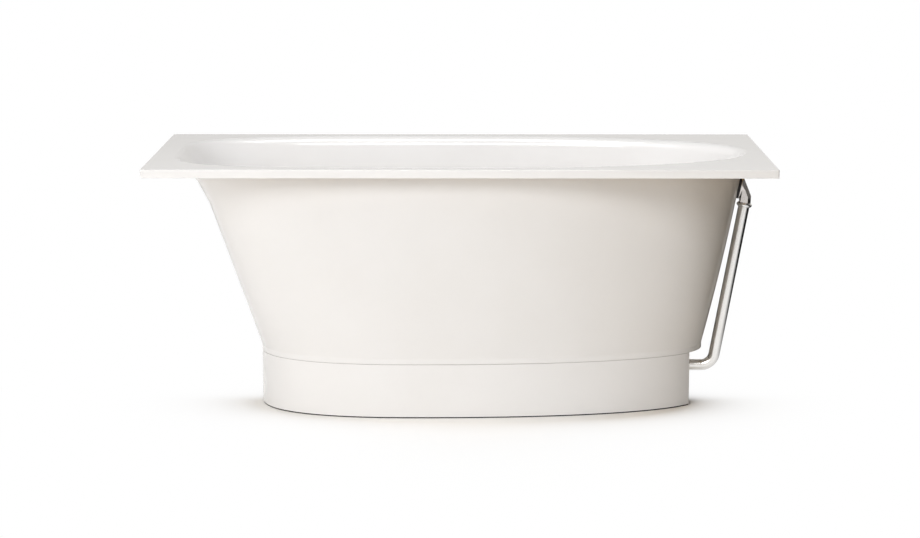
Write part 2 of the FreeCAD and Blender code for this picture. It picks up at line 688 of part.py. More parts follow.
def save_plug():
    """Push plug, shut: its cap, seal and stem, and the cartridge that the stem slides in."""
    seal_radius = barrel_bore + SEAT_WIDTH / 2
    seal_bottom = flange_top - SEAT_DEPTH / 2 + PLUG_SEAT_GAP
    cap_bottom = seal_bottom + PLUG_SEAL_THICKNESS
    cap_top = cap_bottom + PLUG_THICKNESS
    cap = cylinder(PLUG_RADIUS, Vector(drain_x, 0, cap_bottom), UP, PLUG_THICKNESS)
    dome_radius = (PLUG_RADIUS ** 2 + PLUG_DOME ** 2) / (2 * PLUG_DOME)
    dome = Part.makeSphere(dome_radius, Vector(drain_x, 0, cap_top + PLUG_DOME - dome_radius))
    cap_blank = cylinder(PLUG_RADIUS, Vector(drain_x, 0, cap_bottom), UP, PLUG_THICKNESS + PLUG_DOME)
    cap = cap.fuse(cap_blank.common(dome)).removeSplitter()
    cap = cap.makeFillet(PLUG_EDGE_ROUND, level_edges(cap, cap_bottom, drain_x, RIM_LENGTH))
    save("plug_cap", cap)
    seal_start = Vector(drain_x, 0, seal_bottom)
    save("plug_seal", ring(seal_radius, PLUG_SEAL_BORE, seal_start, UP, PLUG_SEAL_THICKNESS))

    cartridge_top = flange_bottom - HUB_DROP + HUB_HEIGHT + CARTRIDGE_COLLAR_HEIGHT
    cartridge_bottom = cartridge_top - CARTRIDGE_HEIGHT
    stem = cylinder(STEM_RADIUS, Vector(drain_x, 0, cap_bottom - STEM_LENGTH), UP, STEM_LENGTH)
    boss = cylinder(PLUG_SEAL_BORE, seal_start, UP, PLUG_SEAL_THICKNESS)
    save("plug_stem", stem.fuse(boss).removeSplitter())
    cartridge = cylinder(CARTRIDGE_RADIUS, Vector(drain_x, 0, cartridge_bottom), UP, CARTRIDGE_HEIGHT)
    collar_start = Vector(drain_x, 0, cartridge_top - CARTRIDGE_COLLAR_HEIGHT)
    cartridge = cartridge.fuse(cylinder(CARTRIDGE_COLLAR_RADIUS, collar_start, UP, CARTRIDGE_COLLAR_HEIGHT))
    bore_start = Vector(drain_x, 0, cartridge_bottom + CARTRIDGE_BASE)
    cartridge = cartridge.cut(cylinder(STEM_RADIUS + STEM_FIT, bore_start, UP, CARTRIDGE_HEIGHT))
    save("click_cartridge", cartridge.removeSplitter())


def behind_plane(point, outward, along):
    """Large block behind a plane, from a point on it, its outward direction and a direction along it."""
    size = 10 * OVERFLOW_FLANGE_RADIUS
    across = outward.cross(along)
    corners = [
        point + along * (sign_a * size) + across * (sign_b * size)
        for sign_a, sign_b in ((-1, -1), (1, -1), (1, 1), (-1, 1))
    ]
    return Part.Face(Part.makePolygon(corners + corners[:1])).extrude(outward * -size)


def inside_back(depth):
    """Space on the wall side of the elbow's slanted back and the bevels beside it, moved in by a depth."""
    slant = math.radians(BACK_SLANT)
    bevel = math.radians(BACK_BEVEL)
    along = overflow_down * math.cos(slant) + overflow_out * math.sin(slant)
    outward = overflow_out * math.cos(slant) - overflow_down * math.sin(slant)
    middle = overflow_place(BACK_START_OUT, -BACK_START_UP)
    space = behind_plane(middle - outward * depth, outward, along)
    for side in (-1, 1):
        sideways = Vector(0, side, 0)
        bevel_out = outward * math.cos(bevel) + sideways * math.sin(bevel)
        corner = middle + sideways * (BACK_FLAT / 2)
        space = space.common(behind_plane(corner - bevel_out * depth, bevel_out, along))
    return space


def build_overflow_elbow():
    """Flange on the wall, neck, slanted back and outlet, bored through, with a bridge for the screw."""
    flange_start = overflow_place(OUTER_GASKET, 0)
    neck_length = PIPE_STANDOFF + PIPE_RADIUS - OUTER_GASKET
    flange = cylinder(OVERFLOW_FLANGE_RADIUS, flange_start, overflow_out, OVERFLOW_FLANGE_THICKNESS)
    neck = cylinder(NECK_RADIUS, flange_start, overflow_out, neck_length)
    outlet_start = overflow_place(PIPE_STANDOFF, -NECK_RADIUS)
    outlet = cylinder(PIPE_RADIUS, outlet_start, overflow_down, NECK_RADIUS + OUTLET_DROP)
    outside = inside_back(0)
    body = neck.fuse(outlet).common(outside).fuse(flange).removeSplitter()
    inside = inside_back(BACK_WALL)
    bore_reach = PIPE_STANDOFF + PIPE_RADIUS - PIPE_WALL
    inner_neck = cylinder(SLEEVE_RADIUS - SLEEVE_WALL, overflow_place(0, 0), overflow_out, bore_reach)
    bore_radius = PIPE_RADIUS - PIPE_WALL
    bore_start = overflow_place(PIPE_STANDOFF, 0)
    inner_outlet = cylinder(bore_radius, bore_start, overflow_down, OUTLET_DROP + MARGIN)
    body = body.cut(inner_neck.fuse(inner_outlet).common(inside))
    socket_depth = OUTER_GASKET + SLEEVE_SOCKET
    body = body.cut(cylinder(SLEEVE_RADIUS + SLEEVE_FIT, overflow_place(0, 0), overflow_out, socket_depth))
    bridge_half = BRIDGE_WIDTH / 2
    bridge = block((0, BRIDGE_THICKNESS), (-NECK_RADIUS, NECK_RADIUS), (-bridge_half, bridge_half))
    bridge.rotate(ORIGIN, Vector(0, 1, 0), math.degrees(overflow_tilt))
    bridge.translate(overflow_place(bridge_out, 0))
    bridge = bridge.common(neck).common(outside)
    screw_bore = overflow_bore(SCREW_RADIUS + SCREW_CLEARANCE).common(inside)
    return body.fuse(bridge).cut(screw_bore).removeSplitter()


def save_overflow(cavity, outer_form):
    """Everything on the overflow's axis, from the rose in the basin to the elbow's collar nut."""
    rose_back = -(wall_build_up + ROSE_SEAT_DEPTH)
    rose_front = rose_back - ROSE_THICKNESS
    bridge_far = bridge_out + BRIDGE_THICKNESS
    hole_radius = SLEEVE_RADIUS + SLEEVE_CLEARANCE

    gasket_start = overflow_place(-OUTER_WALL, 0)
    gasket_depth = OUTER_WALL + OUTER_GASKET
    outer_gasket = ring(OVERFLOW_FLANGE_RADIUS, hole_radius, gasket_start, overflow_out, gasket_depth)
    save("overflow_outer_gasket", outer_gasket.cut(outer_form))
    save("overflow_elbow", build_overflow_elbow())

    sleeve_end = OUTER_GASKET + SLEEVE_SOCKET
    sleeve_start = overflow_place(rose_back, 0)
    save("overflow_sleeve", ring(
        SLEEVE_RADIUS, SLEEVE_RADIUS - SLEEVE_WALL, sleeve_start, overflow_out, sleeve_end - rose_back
    ))
    gasket_depth = ROSE_SEAT_DEPTH + BASIN_WALL
    inner_gasket = ring(ROSE_GASKET_RADIUS, hole_radius, sleeve_start, overflow_out, gasket_depth)
    save("overflow_inner_gasket", inner_gasket.common(cavity))

    rose = cylinder(ROSE_RADIUS, overflow_place(rose_front, 0), overflow_out, ROSE_THICKNESS)
    front_edges = [
        edge for edge in rose.Edges
        if edge.Closed and (edge.CenterOfMass - overflow_place(rose_front, 0)).Length < ROSE_THICKNESS / 2
    ]
    rose = rose.makeFillet(ROSE_EDGE_ROUND, front_edges)
    for index in range(ROSE_HOLE_COUNT):
        turn = 2 * math.pi * index / ROSE_HOLE_COUNT
        start = overflow_place(rose_front, ROSE_HOLE_CIRCLE * math.cos(turn))
        start = start + Vector(0, ROSE_HOLE_CIRCLE * math.sin(turn), 0)
        rose = rose.cut(cylinder(ROSE_HOLE_RADIUS, start, overflow_out, ROSE_THICKNESS))
    save("overflow_rose", rose.cut(overflow_bore(SCREW_RADIUS + SCREW_CLEARANCE)))

    head_start = overflow_place(rose_front - SCREW_HEAD_HEIGHT, 0)
    head = cylinder(SCREW_HEAD_RADIUS, head_start, overflow_out, SCREW_HEAD_HEIGHT)
    shank = cylinder(SCREW_RADIUS, overflow_place(rose_front, 0), overflow_out, bridge_far - rose_front)
    save("overflow_screw", head.fuse(shank).removeSplitter())

    seal_start = overflow_place(PIPE_STANDOFF, OUTLET_DROP)
    seal = ring(PIPE_RADIUS, PIPE_RADIUS - PIPE_WALL, seal_start, overflow_down, PIPE_SEAL)
    save("overflow_pipe_seal", seal)
    collar_start = overflow_place(PIPE_STANDOFF, OUTLET_DROP - COLLAR_OVERLAP)
    collar = cylinder(COLLAR_RADIUS, collar_start, overflow_down, COLLAR_HEIGHT)
    collar = collar.makeFillet(COLLAR_ROUND, [edge for edge in collar.Edges if edge.Closed])
    bore = cylinder(PIPE_RADIUS + PIPE_FIT, collar_start, overflow_down, COLLAR_HEIGHT)
    save("overflow_collar_nut", collar.cut(bore))


def swept_pipe(radius, path, start, direction):
    """Round bar along a path of straight runs and an arc."""
    circle = Part.Wire([Part.Circle(start, direction, radius).toShape()])
    return path.makePipe(Part.Face(circle))


def save_pipe():
    """Overflow pipe from the collar nut to the drain, with its union and grommet."""
    top = overflow_place(PIPE_STANDOFF, OUTLET_DROP + PIPE_SEAL)
    corner_run = (top.z - PIPE_HEIGHT) / -overflow_down.z
    corner = top + overflow_down * corner_run
    stub_end = drain_x + TEE_RADIUS + UNION_STUB
    pipe_end = Vector(stub_end - UNION_INSERT, 0, PIPE_HEIGHT)
    turn = math.acos(overflow_down.dot(HEADWARD))
    tangent_run = PIPE_BEND_RADIUS * math.tan(turn / 2)
    bend_start = corner - overflow_down * tangent_run
    bend_end = corner + HEADWARD * tangent_run
    bisector = (HEADWARD - overflow_down).normalize()
    bend_centre = corner + bisector * (PIPE_BEND_RADIUS / math.cos(turn / 2))
    bend_middle = bend_centre - bisector * PIPE_BEND_RADIUS
    path = Part.Wire([
        Part.LineSegment(top, bend_start).toShape(),
        Part.Arc(bend_start, bend_middle, bend_end).toShape(),
        Part.LineSegment(bend_end, pipe_end).toShape(),
    ])
    outside = swept_pipe(PIPE_RADIUS, path, top, overflow_down)
    inside = swept_pipe(PIPE_RADIUS - PIPE_WALL, path, top, overflow_down)
    save("overflow_pipe", outside.cut(inside))

    union_start = Vector(stub_end, 0, PIPE_HEIGHT)
    stub_radius = PIPE_RADIUS + UNION_STUB_WALL
    save("pipe_union_seal", ring(stub_radius, PIPE_RADIUS + PIPE_FIT, union_start, FOOTWARD, UNION_SEAL))
    nut_start = union_start - FOOTWARD * UNION_NUT_GRIP
    nut_length = UNION_NUT_GRIP + UNION_SEAL + UNION_NUT_LIP
    nut = cylinder(stub_radius + UNION_NUT_WALL, nut_start, FOOTWARD, nut_length)
    nut = nut.cut(cylinder(stub_radius + THREAD_CLEARANCE, nut_start, FOOTWARD, UNION_NUT_GRIP + UNION_SEAL))
    save("pipe_union_nut", nut.cut(cylinder(PIPE_RADIUS + PIPE_FIT, nut_start, FOOTWARD, nut_length)))

    grommet_start = Vector(plinth_end - PLINTH_WALL, 0, PIPE_HEIGHT)
    grommet = cylinder(PIPE_RADIUS + GROMMET_WALL, grommet_start, FOOTWARD, PLINTH_WALL)
    grommet = grommet.fuse(cylinder(grommet_reach, grommet_start, HEADWARD, GROMMET_FLANGE_THICKNESS))
    bore_start = grommet_start - FOOTWARD * MARGIN
    save("pipe_grommet", grommet.cut(cylinder(PIPE_RADIUS + PIPE_FIT, bore_start, FOOTWARD, 2 * MARGIN)))


def save_feet():
    """Rails, their screws and nuts, and the four levelling feet."""
    rail_names = ("head", "foot")
    side_names = {-1: "front", 1: "rear"}
    screws = []
    for rail, rail_name in enumerate(rail_names):
        save("rail_" + rail_name, build_rail(rail))
        for place in rail_screw_places(rail):
            screws.append(screw(place, board_bottom - RAIL_GAUGE, RAIL_GAUGE + SCREW_GRIP))
        for side, side_name in side_names.items():
            y = side * (rail_halves[rail] - STUD_INSET)
            save("foot_stud_" + rail_name + "_" + side_name, build_stud(rail_places[rail], y))
            save("foot_pad_" + rail_name + "_" + side_name, build_pad(rail_places[rail], y))
    save("rail_screws", *screws)
    save("rail_nuts", *build_rail_nuts())


def save_plinth():
    """Plinth wall, floor seal, clips and their screws."""
    save("plinth_skirt", build_plinth())
    save("plinth_seal", build_plinth_seal())
    frames = clip_frames()
    save("plinth_clips", *[build_clip(frame) for frame in frames])
    seat = base_height - CLIP_GAUGE
    grip = CLIP_GAUGE + RETURN_WALL + SCREW_GRIP
    save("clip_screws", *[screw(clip_screw_place(frame), seat, grip) for frame in frames])


os.makedirs("parts", exist_ok=True)
bath_shell, basin_cavity = build_bath_shell()
save("bath_shell", bath_shell)
save("rim_frame", build_rim_frame())
save("outer_shell", build_outer_shell())
save("base_board", build_base_board())
save_plinth()
save_feet()
save_drain()
save_plug()
save_overflow(basin_cavity, body_loft(0, lip_top, TUB_HEIGHT))
save_pipe()
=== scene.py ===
import bpy
import bmesh
import math
from mathutils import Matrix, Vector


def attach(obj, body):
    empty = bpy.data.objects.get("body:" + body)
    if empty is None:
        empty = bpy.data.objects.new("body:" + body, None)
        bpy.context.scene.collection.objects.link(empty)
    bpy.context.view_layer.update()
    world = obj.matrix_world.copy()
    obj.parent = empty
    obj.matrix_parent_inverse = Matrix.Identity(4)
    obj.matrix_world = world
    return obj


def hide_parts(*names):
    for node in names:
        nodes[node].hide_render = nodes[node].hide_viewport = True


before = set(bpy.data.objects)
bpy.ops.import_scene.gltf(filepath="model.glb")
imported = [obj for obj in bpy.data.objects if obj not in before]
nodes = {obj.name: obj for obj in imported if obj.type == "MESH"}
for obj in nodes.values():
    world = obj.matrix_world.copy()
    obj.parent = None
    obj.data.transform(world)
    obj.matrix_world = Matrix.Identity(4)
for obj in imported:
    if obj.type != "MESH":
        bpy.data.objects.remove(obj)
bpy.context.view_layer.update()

# Bath moulding: one sheet of white acrylic, drawn down into the basin with a flat rim left round it and
# folded down 20 mm at the rim's edge. The sheet is 5 mm thick and glossy, a little uneven from the mould,
# and bored for the drain in the basin's floor and for the overflow in its wall.
TUB_TOP = 0.625
RIM_BOTTOM = 0.605
RIM_HALF_LENGTH = 0.750
RIM_HALF_WIDTH = 0.350
RIM_CORNER_ROUND = 0.003
RIM_EDGE_ROUND = 0.0009
LIP_ROUND = 0.027
COVE_ROUND = 0.060
BASIN_FLOOR = 0.159
BASIN_INSET = 0.014
SHEET = 0.005
BODY_FOOT = 0.147
HEAD_REACH = 0.4955
HEAD_TAPER = 0.151
HEAD_POWER_BASE = 2.5
HEAD_POWER_RISE = 1.5
HEAD_FLARE = 0.061
FLARE_START = 0.5036
FLARE_HEIGHT = 0.1214
FOOT_REACH = 0.605
FOOT_TAPER = 0.097
FOOT_POWER = 2.2
SIDE_REACH = 0.2325
SIDE_TAPER = 0.0755
WALL_BULGE = 0.020
WIDEST_SHIFT = 0.104
TURN_STEP = 0.004
HEIGHT_STEP = 0.002
RING_POINTS = 192
NEAR = 1e-5
TINY = 1e-6
PLACE_DIGITS = 5


def oval_point(height, inset, turn):
    """Point of the body's egg-shaped oval at a height, at a turn from the overflow end."""
    rise = (height - BODY_FOOT) / (RIM_BOTTOM - BODY_FOOT)
    bulge = WALL_BULGE * rise * (1 - rise)
    flare = max(0.0, (height - FLARE_START) / FLARE_HEIGHT)
    head = HEAD_REACH + HEAD_TAPER * rise + HEAD_FLARE * flare ** 3
    foot = FOOT_REACH + FOOT_TAPER * rise + bulge
    side = SIDE_REACH + SIDE_TAPER * rise + bulge
    widest = -WIDEST_SHIFT * (1 - rise)
    across = math.cos(turn)
    along = math.sin(turn)
    power = FOOT_POWER if across > 0 else HEAD_POWER_BASE + HEAD_POWER_RISE * rise
    reach = foot - inset - widest if across > 0 else head - inset + widest
    swell = (abs(across) ** power + abs(along) ** power) ** (-1 / power)
    return Vector((widest + reach * across * swell, (side - inset) * along * swell, height))


def turns(count):
    """Equal turns round a ring, one for each of its points."""
    return [2 * math.pi * index / count for index in range(count)]


def outward_at(height, inset, turn):
    """Level direction square to the oval, away from the tub's middle."""
    run = oval_point(height, inset, turn + TURN_STEP) - oval_point(height, inset, turn - TURN_STEP)
    return Vector((run.y, -run.x, 0)).normalized()


def wall_lean(height, inset, turn):
    """Angle that the wall leans outwards from upright."""
    rise = oval_point(height + HEIGHT_STEP, inset, turn) - oval_point(height - HEIGHT_STEP, inset, turn)
    return math.atan2(rise.dot(outward_at(height, inset, turn)), 2 * HEIGHT_STEP)


def wall_row(height, inset):
    """Row of a wall at a height, set in from the body's outside."""
    return [oval_point(height, inset, turn) for turn in turns(RING_POINTS)]


def lip_row(share):
    """Row of the rounded lip: share 0 lies on the rim's deck and share 1 meets the basin's wall."""
    centre_height = TUB_TOP - LIP_ROUND
    row = []
    for turn in turns(RING_POINTS):
        lean = wall_lean(centre_height, BASIN_INSET, turn)
        outward = outward_at(centre_height, BASIN_INSET, turn)
        centre = oval_point(centre_height, BASIN_INSET, turn) + outward * (LIP_ROUND / math.cos(lean))
        swing = share * (math.pi / 2 - lean)
        row.append(centre + (Vector((0, 0, 1)) * math.cos(swing) - outward * math.sin(swing)) * LIP_ROUND)
    return row


def cove_row(share):
    """Row of the rounded foot of the basin's wall: share 0 meets the wall and share 1 lies on the floor."""
    centre_height = BASIN_FLOOR + COVE_ROUND
    row = []
    for turn in turns(RING_POINTS):
        lean = wall_lean(centre_height, BASIN_INSET, turn)
        outward = outward_at(centre_height, BASIN_INSET, turn)
        centre = oval_point(centre_height, BASIN_INSET, turn) - outward * (COVE_ROUND / math.cos(lean))
        swing = (1 - share) * (math.pi / 2 - lean)
        row.append(centre + (outward * math.sin(swing) - Vector((0, 0, 1)) * math.cos(swing)) * COVE_ROUND)
    return row


def rim_row(height):
    """Row on the rim's rectangle, with a point in each of its corners."""
    row = []
    for point in lip_row(0):
        stretch_along = RIM_HALF_LENGTH / max(abs(point.x), TINY)
        stretch_across = RIM_HALF_WIDTH / max(abs(point.y), TINY)
        stretch = min(stretch_along, stretch_across)
        row.append(Vector((point.x * stretch, point.y * stretch, height)))
    for corner_x in (-RIM_HALF_LENGTH, RIM_HALF_LENGTH):
        for corner_y in (-RIM_HALF_WIDTH, RIM_HALF_WIDTH):
            corner = Vector((corner_x, corner_y, height))
            nearest = min(range(RING_POINTS), key=lambda index: (row[index] - corner).length)
            row[nearest] = corner
    return row


def start_ring(name, row):
    """Circle with one vertex for each point of a row, moved onto the row."""
    bpy.ops.object.select_all(action="DESELECT")
    bpy.ops.mesh.primitive_circle_add(vertices=len(row), radius=RIM_HALF_WIDTH)
    piece = bpy.context.object
    piece.name = name
    piece.data.name = name
    for vertex, point in zip(piece.data.vertices, row):
        vertex.co = point
    bpy.ops.object.mode_set(mode="EDIT")
    bpy.ops.mesh.select_all(action="SELECT")
    return piece


def place_key(point):
    """Rounded place, by which a vertex is matched to its point of a row."""
    return tuple(round(value, PLACE_DIGITS) for value in point)


def extrude_ring(piece, row_before, row):
    """Extrude the selected ring, and move each new vertex onto its point of the next row."""
    bpy.ops.mesh.extrude_edges_move()
    mesh = bmesh.from_edit_mesh(piece.data)
    places = {place_key(point): index for index, point in enumerate(row_before)}
    for vertex in mesh.verts:
        if vertex.select:
            vertex.co = row[places[place_key(vertex.co)]]
    bmesh.update_edit_mesh(piece.data)


def loft(name, rows, close_last):
    """Skin through rows of points, the first ring to the last, with the last ring filled if asked."""
    piece = start_ring(name, rows[0])
    for row_before, row in zip(rows, rows[1:]):
        extrude_ring(piece, row_before, row)
    if close_last:
        bpy.ops.mesh.edge_face_add()
    bpy.ops.object.mode_set(mode="OBJECT")
    return piece


def pick(piece):
    """Make a piece the active object and the only selected one."""
    bpy.ops.object.select_all(action="DESELECT")
    bpy.context.view_layer.objects.active = piece
    piece.select_set(True)


def face_outwards(piece, flip):
    """Turn all faces the same way, and then all over to the other side if asked."""
    pick(piece)
    bpy.ops.object.mode_set(mode="EDIT")
    bpy.ops.mesh.select_all(action="SELECT")
    bpy.ops.mesh.normals_make_consistent(inside=False)
    if flip:
        bpy.ops.mesh.flip_normals()
    bpy.ops.object.mode_set(mode="OBJECT")


def finish_with(piece, kind, **settings):
    """Add a modifier with its settings, and apply it."""
    pick(piece)
    modifier = piece.modifiers.new(kind.title(), kind)
    for setting, value in settings.items():
        setattr(modifier, setting, value)
    bpy.ops.object.modifier_apply(modifier=modifier.name)


def bevel_edges(piece, wanted, width, segments):
    """Bevel the edges that a test picks by their two ends."""
    pick(piece)
    bpy.ops.object.mode_set(mode="EDIT")
    bpy.ops.mesh.select_mode(type="EDGE")
    bpy.ops.mesh.select_all(action="DESELECT")
    mesh = bmesh.from_edit_mesh(piece.data)
    for edge in mesh.edges:
        edge.select = wanted(edge.verts[0].co, edge.verts[1].co)
    mesh.select_flush_mode()
    bmesh.update_edit_mesh(piece.data)
    bpy.ops.mesh.bevel(offset=width, offset_type="OFFSET", segments=segments, profile=0.5, affect="EDGES")
    bpy.ops.object.mode_set(mode="OBJECT")


ROUND_SIDES = 64


def round_bar(name, radius, start, direction, length, sides=ROUND_SIDES):
    """Cylinder from a start point along a direction, with its place in its mesh."""
    bpy.ops.object.select_all(action="DESELECT")
    bpy.ops.mesh.primitive_cylinder_add(vertices=sides, radius=radius, depth=length)
    bar = bpy.context.object
    bar.name = name
    turn = direction.to_track_quat("Z", "Y").to_matrix().to_4x4()
    bar.data.transform(Matrix.Translation(start + direction * (length / 2)) @ turn)
    return bar


def cut_away(piece, cutter):
    """Cut another solid out of a piece."""
    finish_with(piece, "BOOLEAN", operation="DIFFERENCE", object=cutter, solver="EXACT")
    bpy.data.objects.remove(cutter)


def bore(piece, radius, start, direction, depth, sides=ROUND_SIDES):
    """Cut a round hole from a start point along a direction."""
    cut_away(piece, round_bar("drill", radius, start, direction, depth, sides))


SMOOTH_ANGLE = math.radians(32)


def smooth(piece):
    """Smooth shading over the shallow edges, weighted to the large faces."""
    pick(piece)
    bpy.ops.object.shade_smooth_by_angle(angle=SMOOTH_ANGLE)
    finish_with(piece, "WEIGHTED_NORMAL", keep_sharp=True, mode="FACE_AREA_WITH_ANGLE")


class Value:
    """A number that a shader node gives. Arithmetic on it adds Math nodes."""

    def __init__(self, finish, socket):
        self.finish = finish
        self.socket = socket

    def math(self, operation, first, second):
        node = self.finish.node("ShaderNodeMath", {"operation": operation}, {0: first, 1: second})
        return Value(self.finish, node.outputs[0])

    def __add__(self, other):
        return self.math("ADD", self, other)

    def __radd__(self, other):
        return self.math("ADD", other, self)

    def __sub__(self, other):
        return self.math("SUBTRACT", self, other)

    def __rsub__(self, other):
        return self.math("SUBTRACT", other, self)

    def __mul__(self, other):
        return self.math("MULTIPLY", self, other)

    def __rmul__(self, other):
        return self.math("MULTIPLY", other, self)

    def __truediv__(self, other):
        return self.math("DIVIDE", self, other)

    def __rpow__(self, other):
        return self.math("POWER", other, self)

    def at_most(self, other):
        return self.math("MINIMUM", self, other)

    def at_least(self, other):
        return self.math("MAXIMUM", self, other)


class Finish:
    """A node material, or another owner of shader nodes, that is filled node by node."""

    def __init__(self, name, owner=None):
        self.owner = owner or bpy.data.materials.new(name)
        self.owner.use_nodes = True
        self.tree = self.owner.node_tree
        self.tree.nodes.clear()

    def node(self, kind, settings=None, sockets=None):
        """Any node: its settings first, such as a ramp's stops, then its sockets' values or links."""
        node = self.tree.nodes.new(kind)
        for setting, value in (settings or {}).items():
            if setting == "stops":
                while len(node.color_ramp.elements) < len(value):
                    node.color_ramp.elements.new(position=0.5)
                for element, (position, colour) in zip(node.color_ramp.elements, value):
                    element.position = position
                    element.color = colour
            else:
                setattr(node, setting, value)
        for name, value in (sockets or {}).items():
            source = value.socket if isinstance(value, Value) else value
            if isinstance(source, bpy.types.NodeSocket):
                self.tree.links.new(source, node.inputs[name])
            else:
                node.inputs[name].default_value = source
        return node

    def value(self, kind, settings=None, sockets=None, output=0):
        return Value(self, self.node(kind, settings, sockets).outputs[output])

    def place(self, scale=(1, 1, 1), turn=(0, 0, 0)):
        """Object coordinates, stretched and turned for a pattern."""
        place = self.node("ShaderNodeTexCoord").outputs["Object"]
        sockets = {"Vector": place, "Scale": scale, "Rotation": turn}
        return self.node("ShaderNodeMapping", {}, sockets).outputs[0]

    def noise(self, vector, scale, detail, roughness):
        sockets = {"Vector": vector, "Scale": scale, "Detail": detail, "Roughness": roughness}
        return self.value("ShaderNodeTexNoise", {}, sockets)

    def ramp(self, factor, *stops):
        return self.node("ShaderNodeValToRGB", {"stops": stops}, {0: factor}).outputs[0]

    def bump(self, height, strength, distance):
        sockets = {"Height": height, "Strength": strength, "Distance": distance}
        return self.node("ShaderNodeBump", {}, sockets).outputs[0]

    def surface(self, **sockets):
        """The material's shader, with sockets named in words joined by underscores."""
        named = {name.replace("_", " "): value for name, value in sockets.items()}
        shader = self.node("ShaderNodeBsdfPrincipled", {}, named)
        self.node("ShaderNodeOutputMaterial", {}, {"Surface": shader.outputs[0]})
        return self.owner


def white_acrylic(name, warm, cool, polish):
    """Warm white sheet with faint clouding, a slight ripple from the mould and fine wiping marks."""
    finish = Finish(name)
    place = finish.place()
    cloud = finish.noise(place, scale=3.5, detail=4.0, roughness=0.55)
    ripple = finish.noise(place, scale=9.0, detail=1.0, roughness=0.3)
    wiped = finish.place(scale=(40, 6, 6), turn=(0, 0, 0.5))
    wiping = finish.noise(wiped, scale=18.0, detail=5.0, roughness=0.7)
    grain = finish.noise(place, scale=900.0, detail=2.0, roughness=0.6)
    height = ripple + 0.004 * grain
    return finish.surface(
        Base_Color=finish.ramp(cloud, (0.35, (*warm, 1)), (0.65, (*cool, 1))),
        Roughness=polish + 0.05 * wiping + 0.03 * cloud,
        IOR=1.49,
        Coat_Weight=0.15,
        Coat_Roughness=0.06,
        Normal=finish.bump(height, strength=0.12, distance=0.0015),
    )


OVERFLOW_HEIGHT = 0.5405
HOLE_ROWS = 0.029
LIP_STEPS = 10
WALL_STEPS = 10
COVE_STEPS = 10
wall_bottom = BASIN_FLOOR + COVE_ROUND
upper_hole_row = OVERFLOW_HEIGHT + HOLE_ROWS
lower_hole_row = OVERFLOW_HEIGHT - HOLE_ROWS
wall_step = (lower_hole_row - wall_bottom) / WALL_STEPS
basin_rows = [rim_row(RIM_BOTTOM), rim_row(TUB_TOP)]
basin_rows += [lip_row(step / LIP_STEPS) for step in range(LIP_STEPS + 1)]
basin_rows += [wall_row(height, BASIN_INSET) for height in (upper_hole_row, lower_hole_row)]
basin_rows += [wall_row(lower_hole_row - wall_step * step, BASIN_INSET) for step in range(1, WALL_STEPS)]
basin_rows += [cove_row(step / COVE_STEPS) for step in range(COVE_STEPS + 1)]
bath = loft("bath_moulding", basin_rows, close_last=True)
face_outwards(bath, flip=False)
basin_floor_face = max(bath.data.polygons, key=lambda face: len(face.vertices))
if basin_floor_face.normal.z < 0:
    face_outwards(bath, flip=True)
finish_with(bath, "SOLIDIFY", thickness=SHEET, offset=-1.0, use_even_offset=True)
DRAIN = Vector((0.430, 0, BASIN_FLOOR))
RECESS_RADIUS = 0.039
RECESS_DEPTH = 0.003
RECESS_SIDES = 96
DRAIN_HOLE = 0.024
CUT = 0.030
DOWN = Vector((0, 0, -1))
bore(bath, RECESS_RADIUS, DRAIN + Vector((0, 0, CUT - RECESS_DEPTH)), DOWN, CUT, RECESS_SIDES)
bore(bath, DRAIN_HOLE, DRAIN + Vector((0, 0, CUT)), DOWN, 2 * CUT)
OVERFLOW_TILT = math.radians(10.2)
OVERFLOW_OUT = Vector((math.cos(OVERFLOW_TILT), 0, -math.sin(OVERFLOW_TILT)))
OVERFLOW_DOWN = Vector((-math.sin(OVERFLOW_TILT), 0, -math.cos(OVERFLOW_TILT)))
OVERFLOW_CENTRE = oval_point(OVERFLOW_HEIGHT, 0, 0)
WALL_HOLE = 0.018
BASIN_BORE = 0.045
bore(bath, WALL_HOLE, OVERFLOW_CENTRE - OVERFLOW_OUT * BASIN_BORE, OVERFLOW_OUT, BASIN_BORE)


def on_rim_edge(point):
    """Whether a point is on the rim's outermost faces, those at its ends and those at its sides."""
    near_end = abs(abs(point.x) - RIM_HALF_LENGTH) < NEAR
    near_side = abs(abs(point.y) - RIM_HALF_WIDTH) < NEAR
    return near_end, near_side


def rim_corner(first, second):
    """Whether an edge is one of the rim's upright corners."""
    return all(on_rim_edge(first)) and all(on_rim_edge(second))


def rim_edge_at(height):
    """Test that picks the rim's outer edges at a height."""

    def at_height(first, second):
        return all(any(on_rim_edge(point)) and abs(point.z - height) < NEAR for point in (first, second))

    return at_height


bevel_edges(bath, rim_corner, RIM_CORNER_ROUND, segments=4)
bevel_edges(bath, rim_edge_at(TUB_TOP), RIM_EDGE_ROUND, segments=3)
bevel_edges(bath, rim_edge_at(RIM_BOTTOM), RIM_EDGE_ROUND / 2, segments=2)
smooth(bath)
gloss_acrylic = white_acrylic(
    "gloss_white_acrylic", warm=(0.862, 0.849, 0.834), cool=(0.880, 0.868, 0.856), polish=0.085
)
bath.data.materials.append(gloss_acrylic)
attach(bath, "tub")
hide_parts("bath_shell")

# Outer body: a second acrylic sheet, formed over an egg-shaped mould that flares towards the rim, with an
# upright lip at its foot and a flange turned in under the base board. Its outside is a little less glossy
# than the basin, and its top edge is tucked up under the rim.
BODY_BASE = 0.133
BODY_TOP = 0.607
LIP_EDGE_ROUND = 0.002
LIP_EDGE_STEPS = 5
RETURN_WIDTH = 0.045
CREASE = 0.0015
BODY_STEPS = 12
BODY_BORE = 0.020


def level_row(row, height):
    """Row moved to a height."""
    return [Vector((point.x, point.y, height)) for point in row]


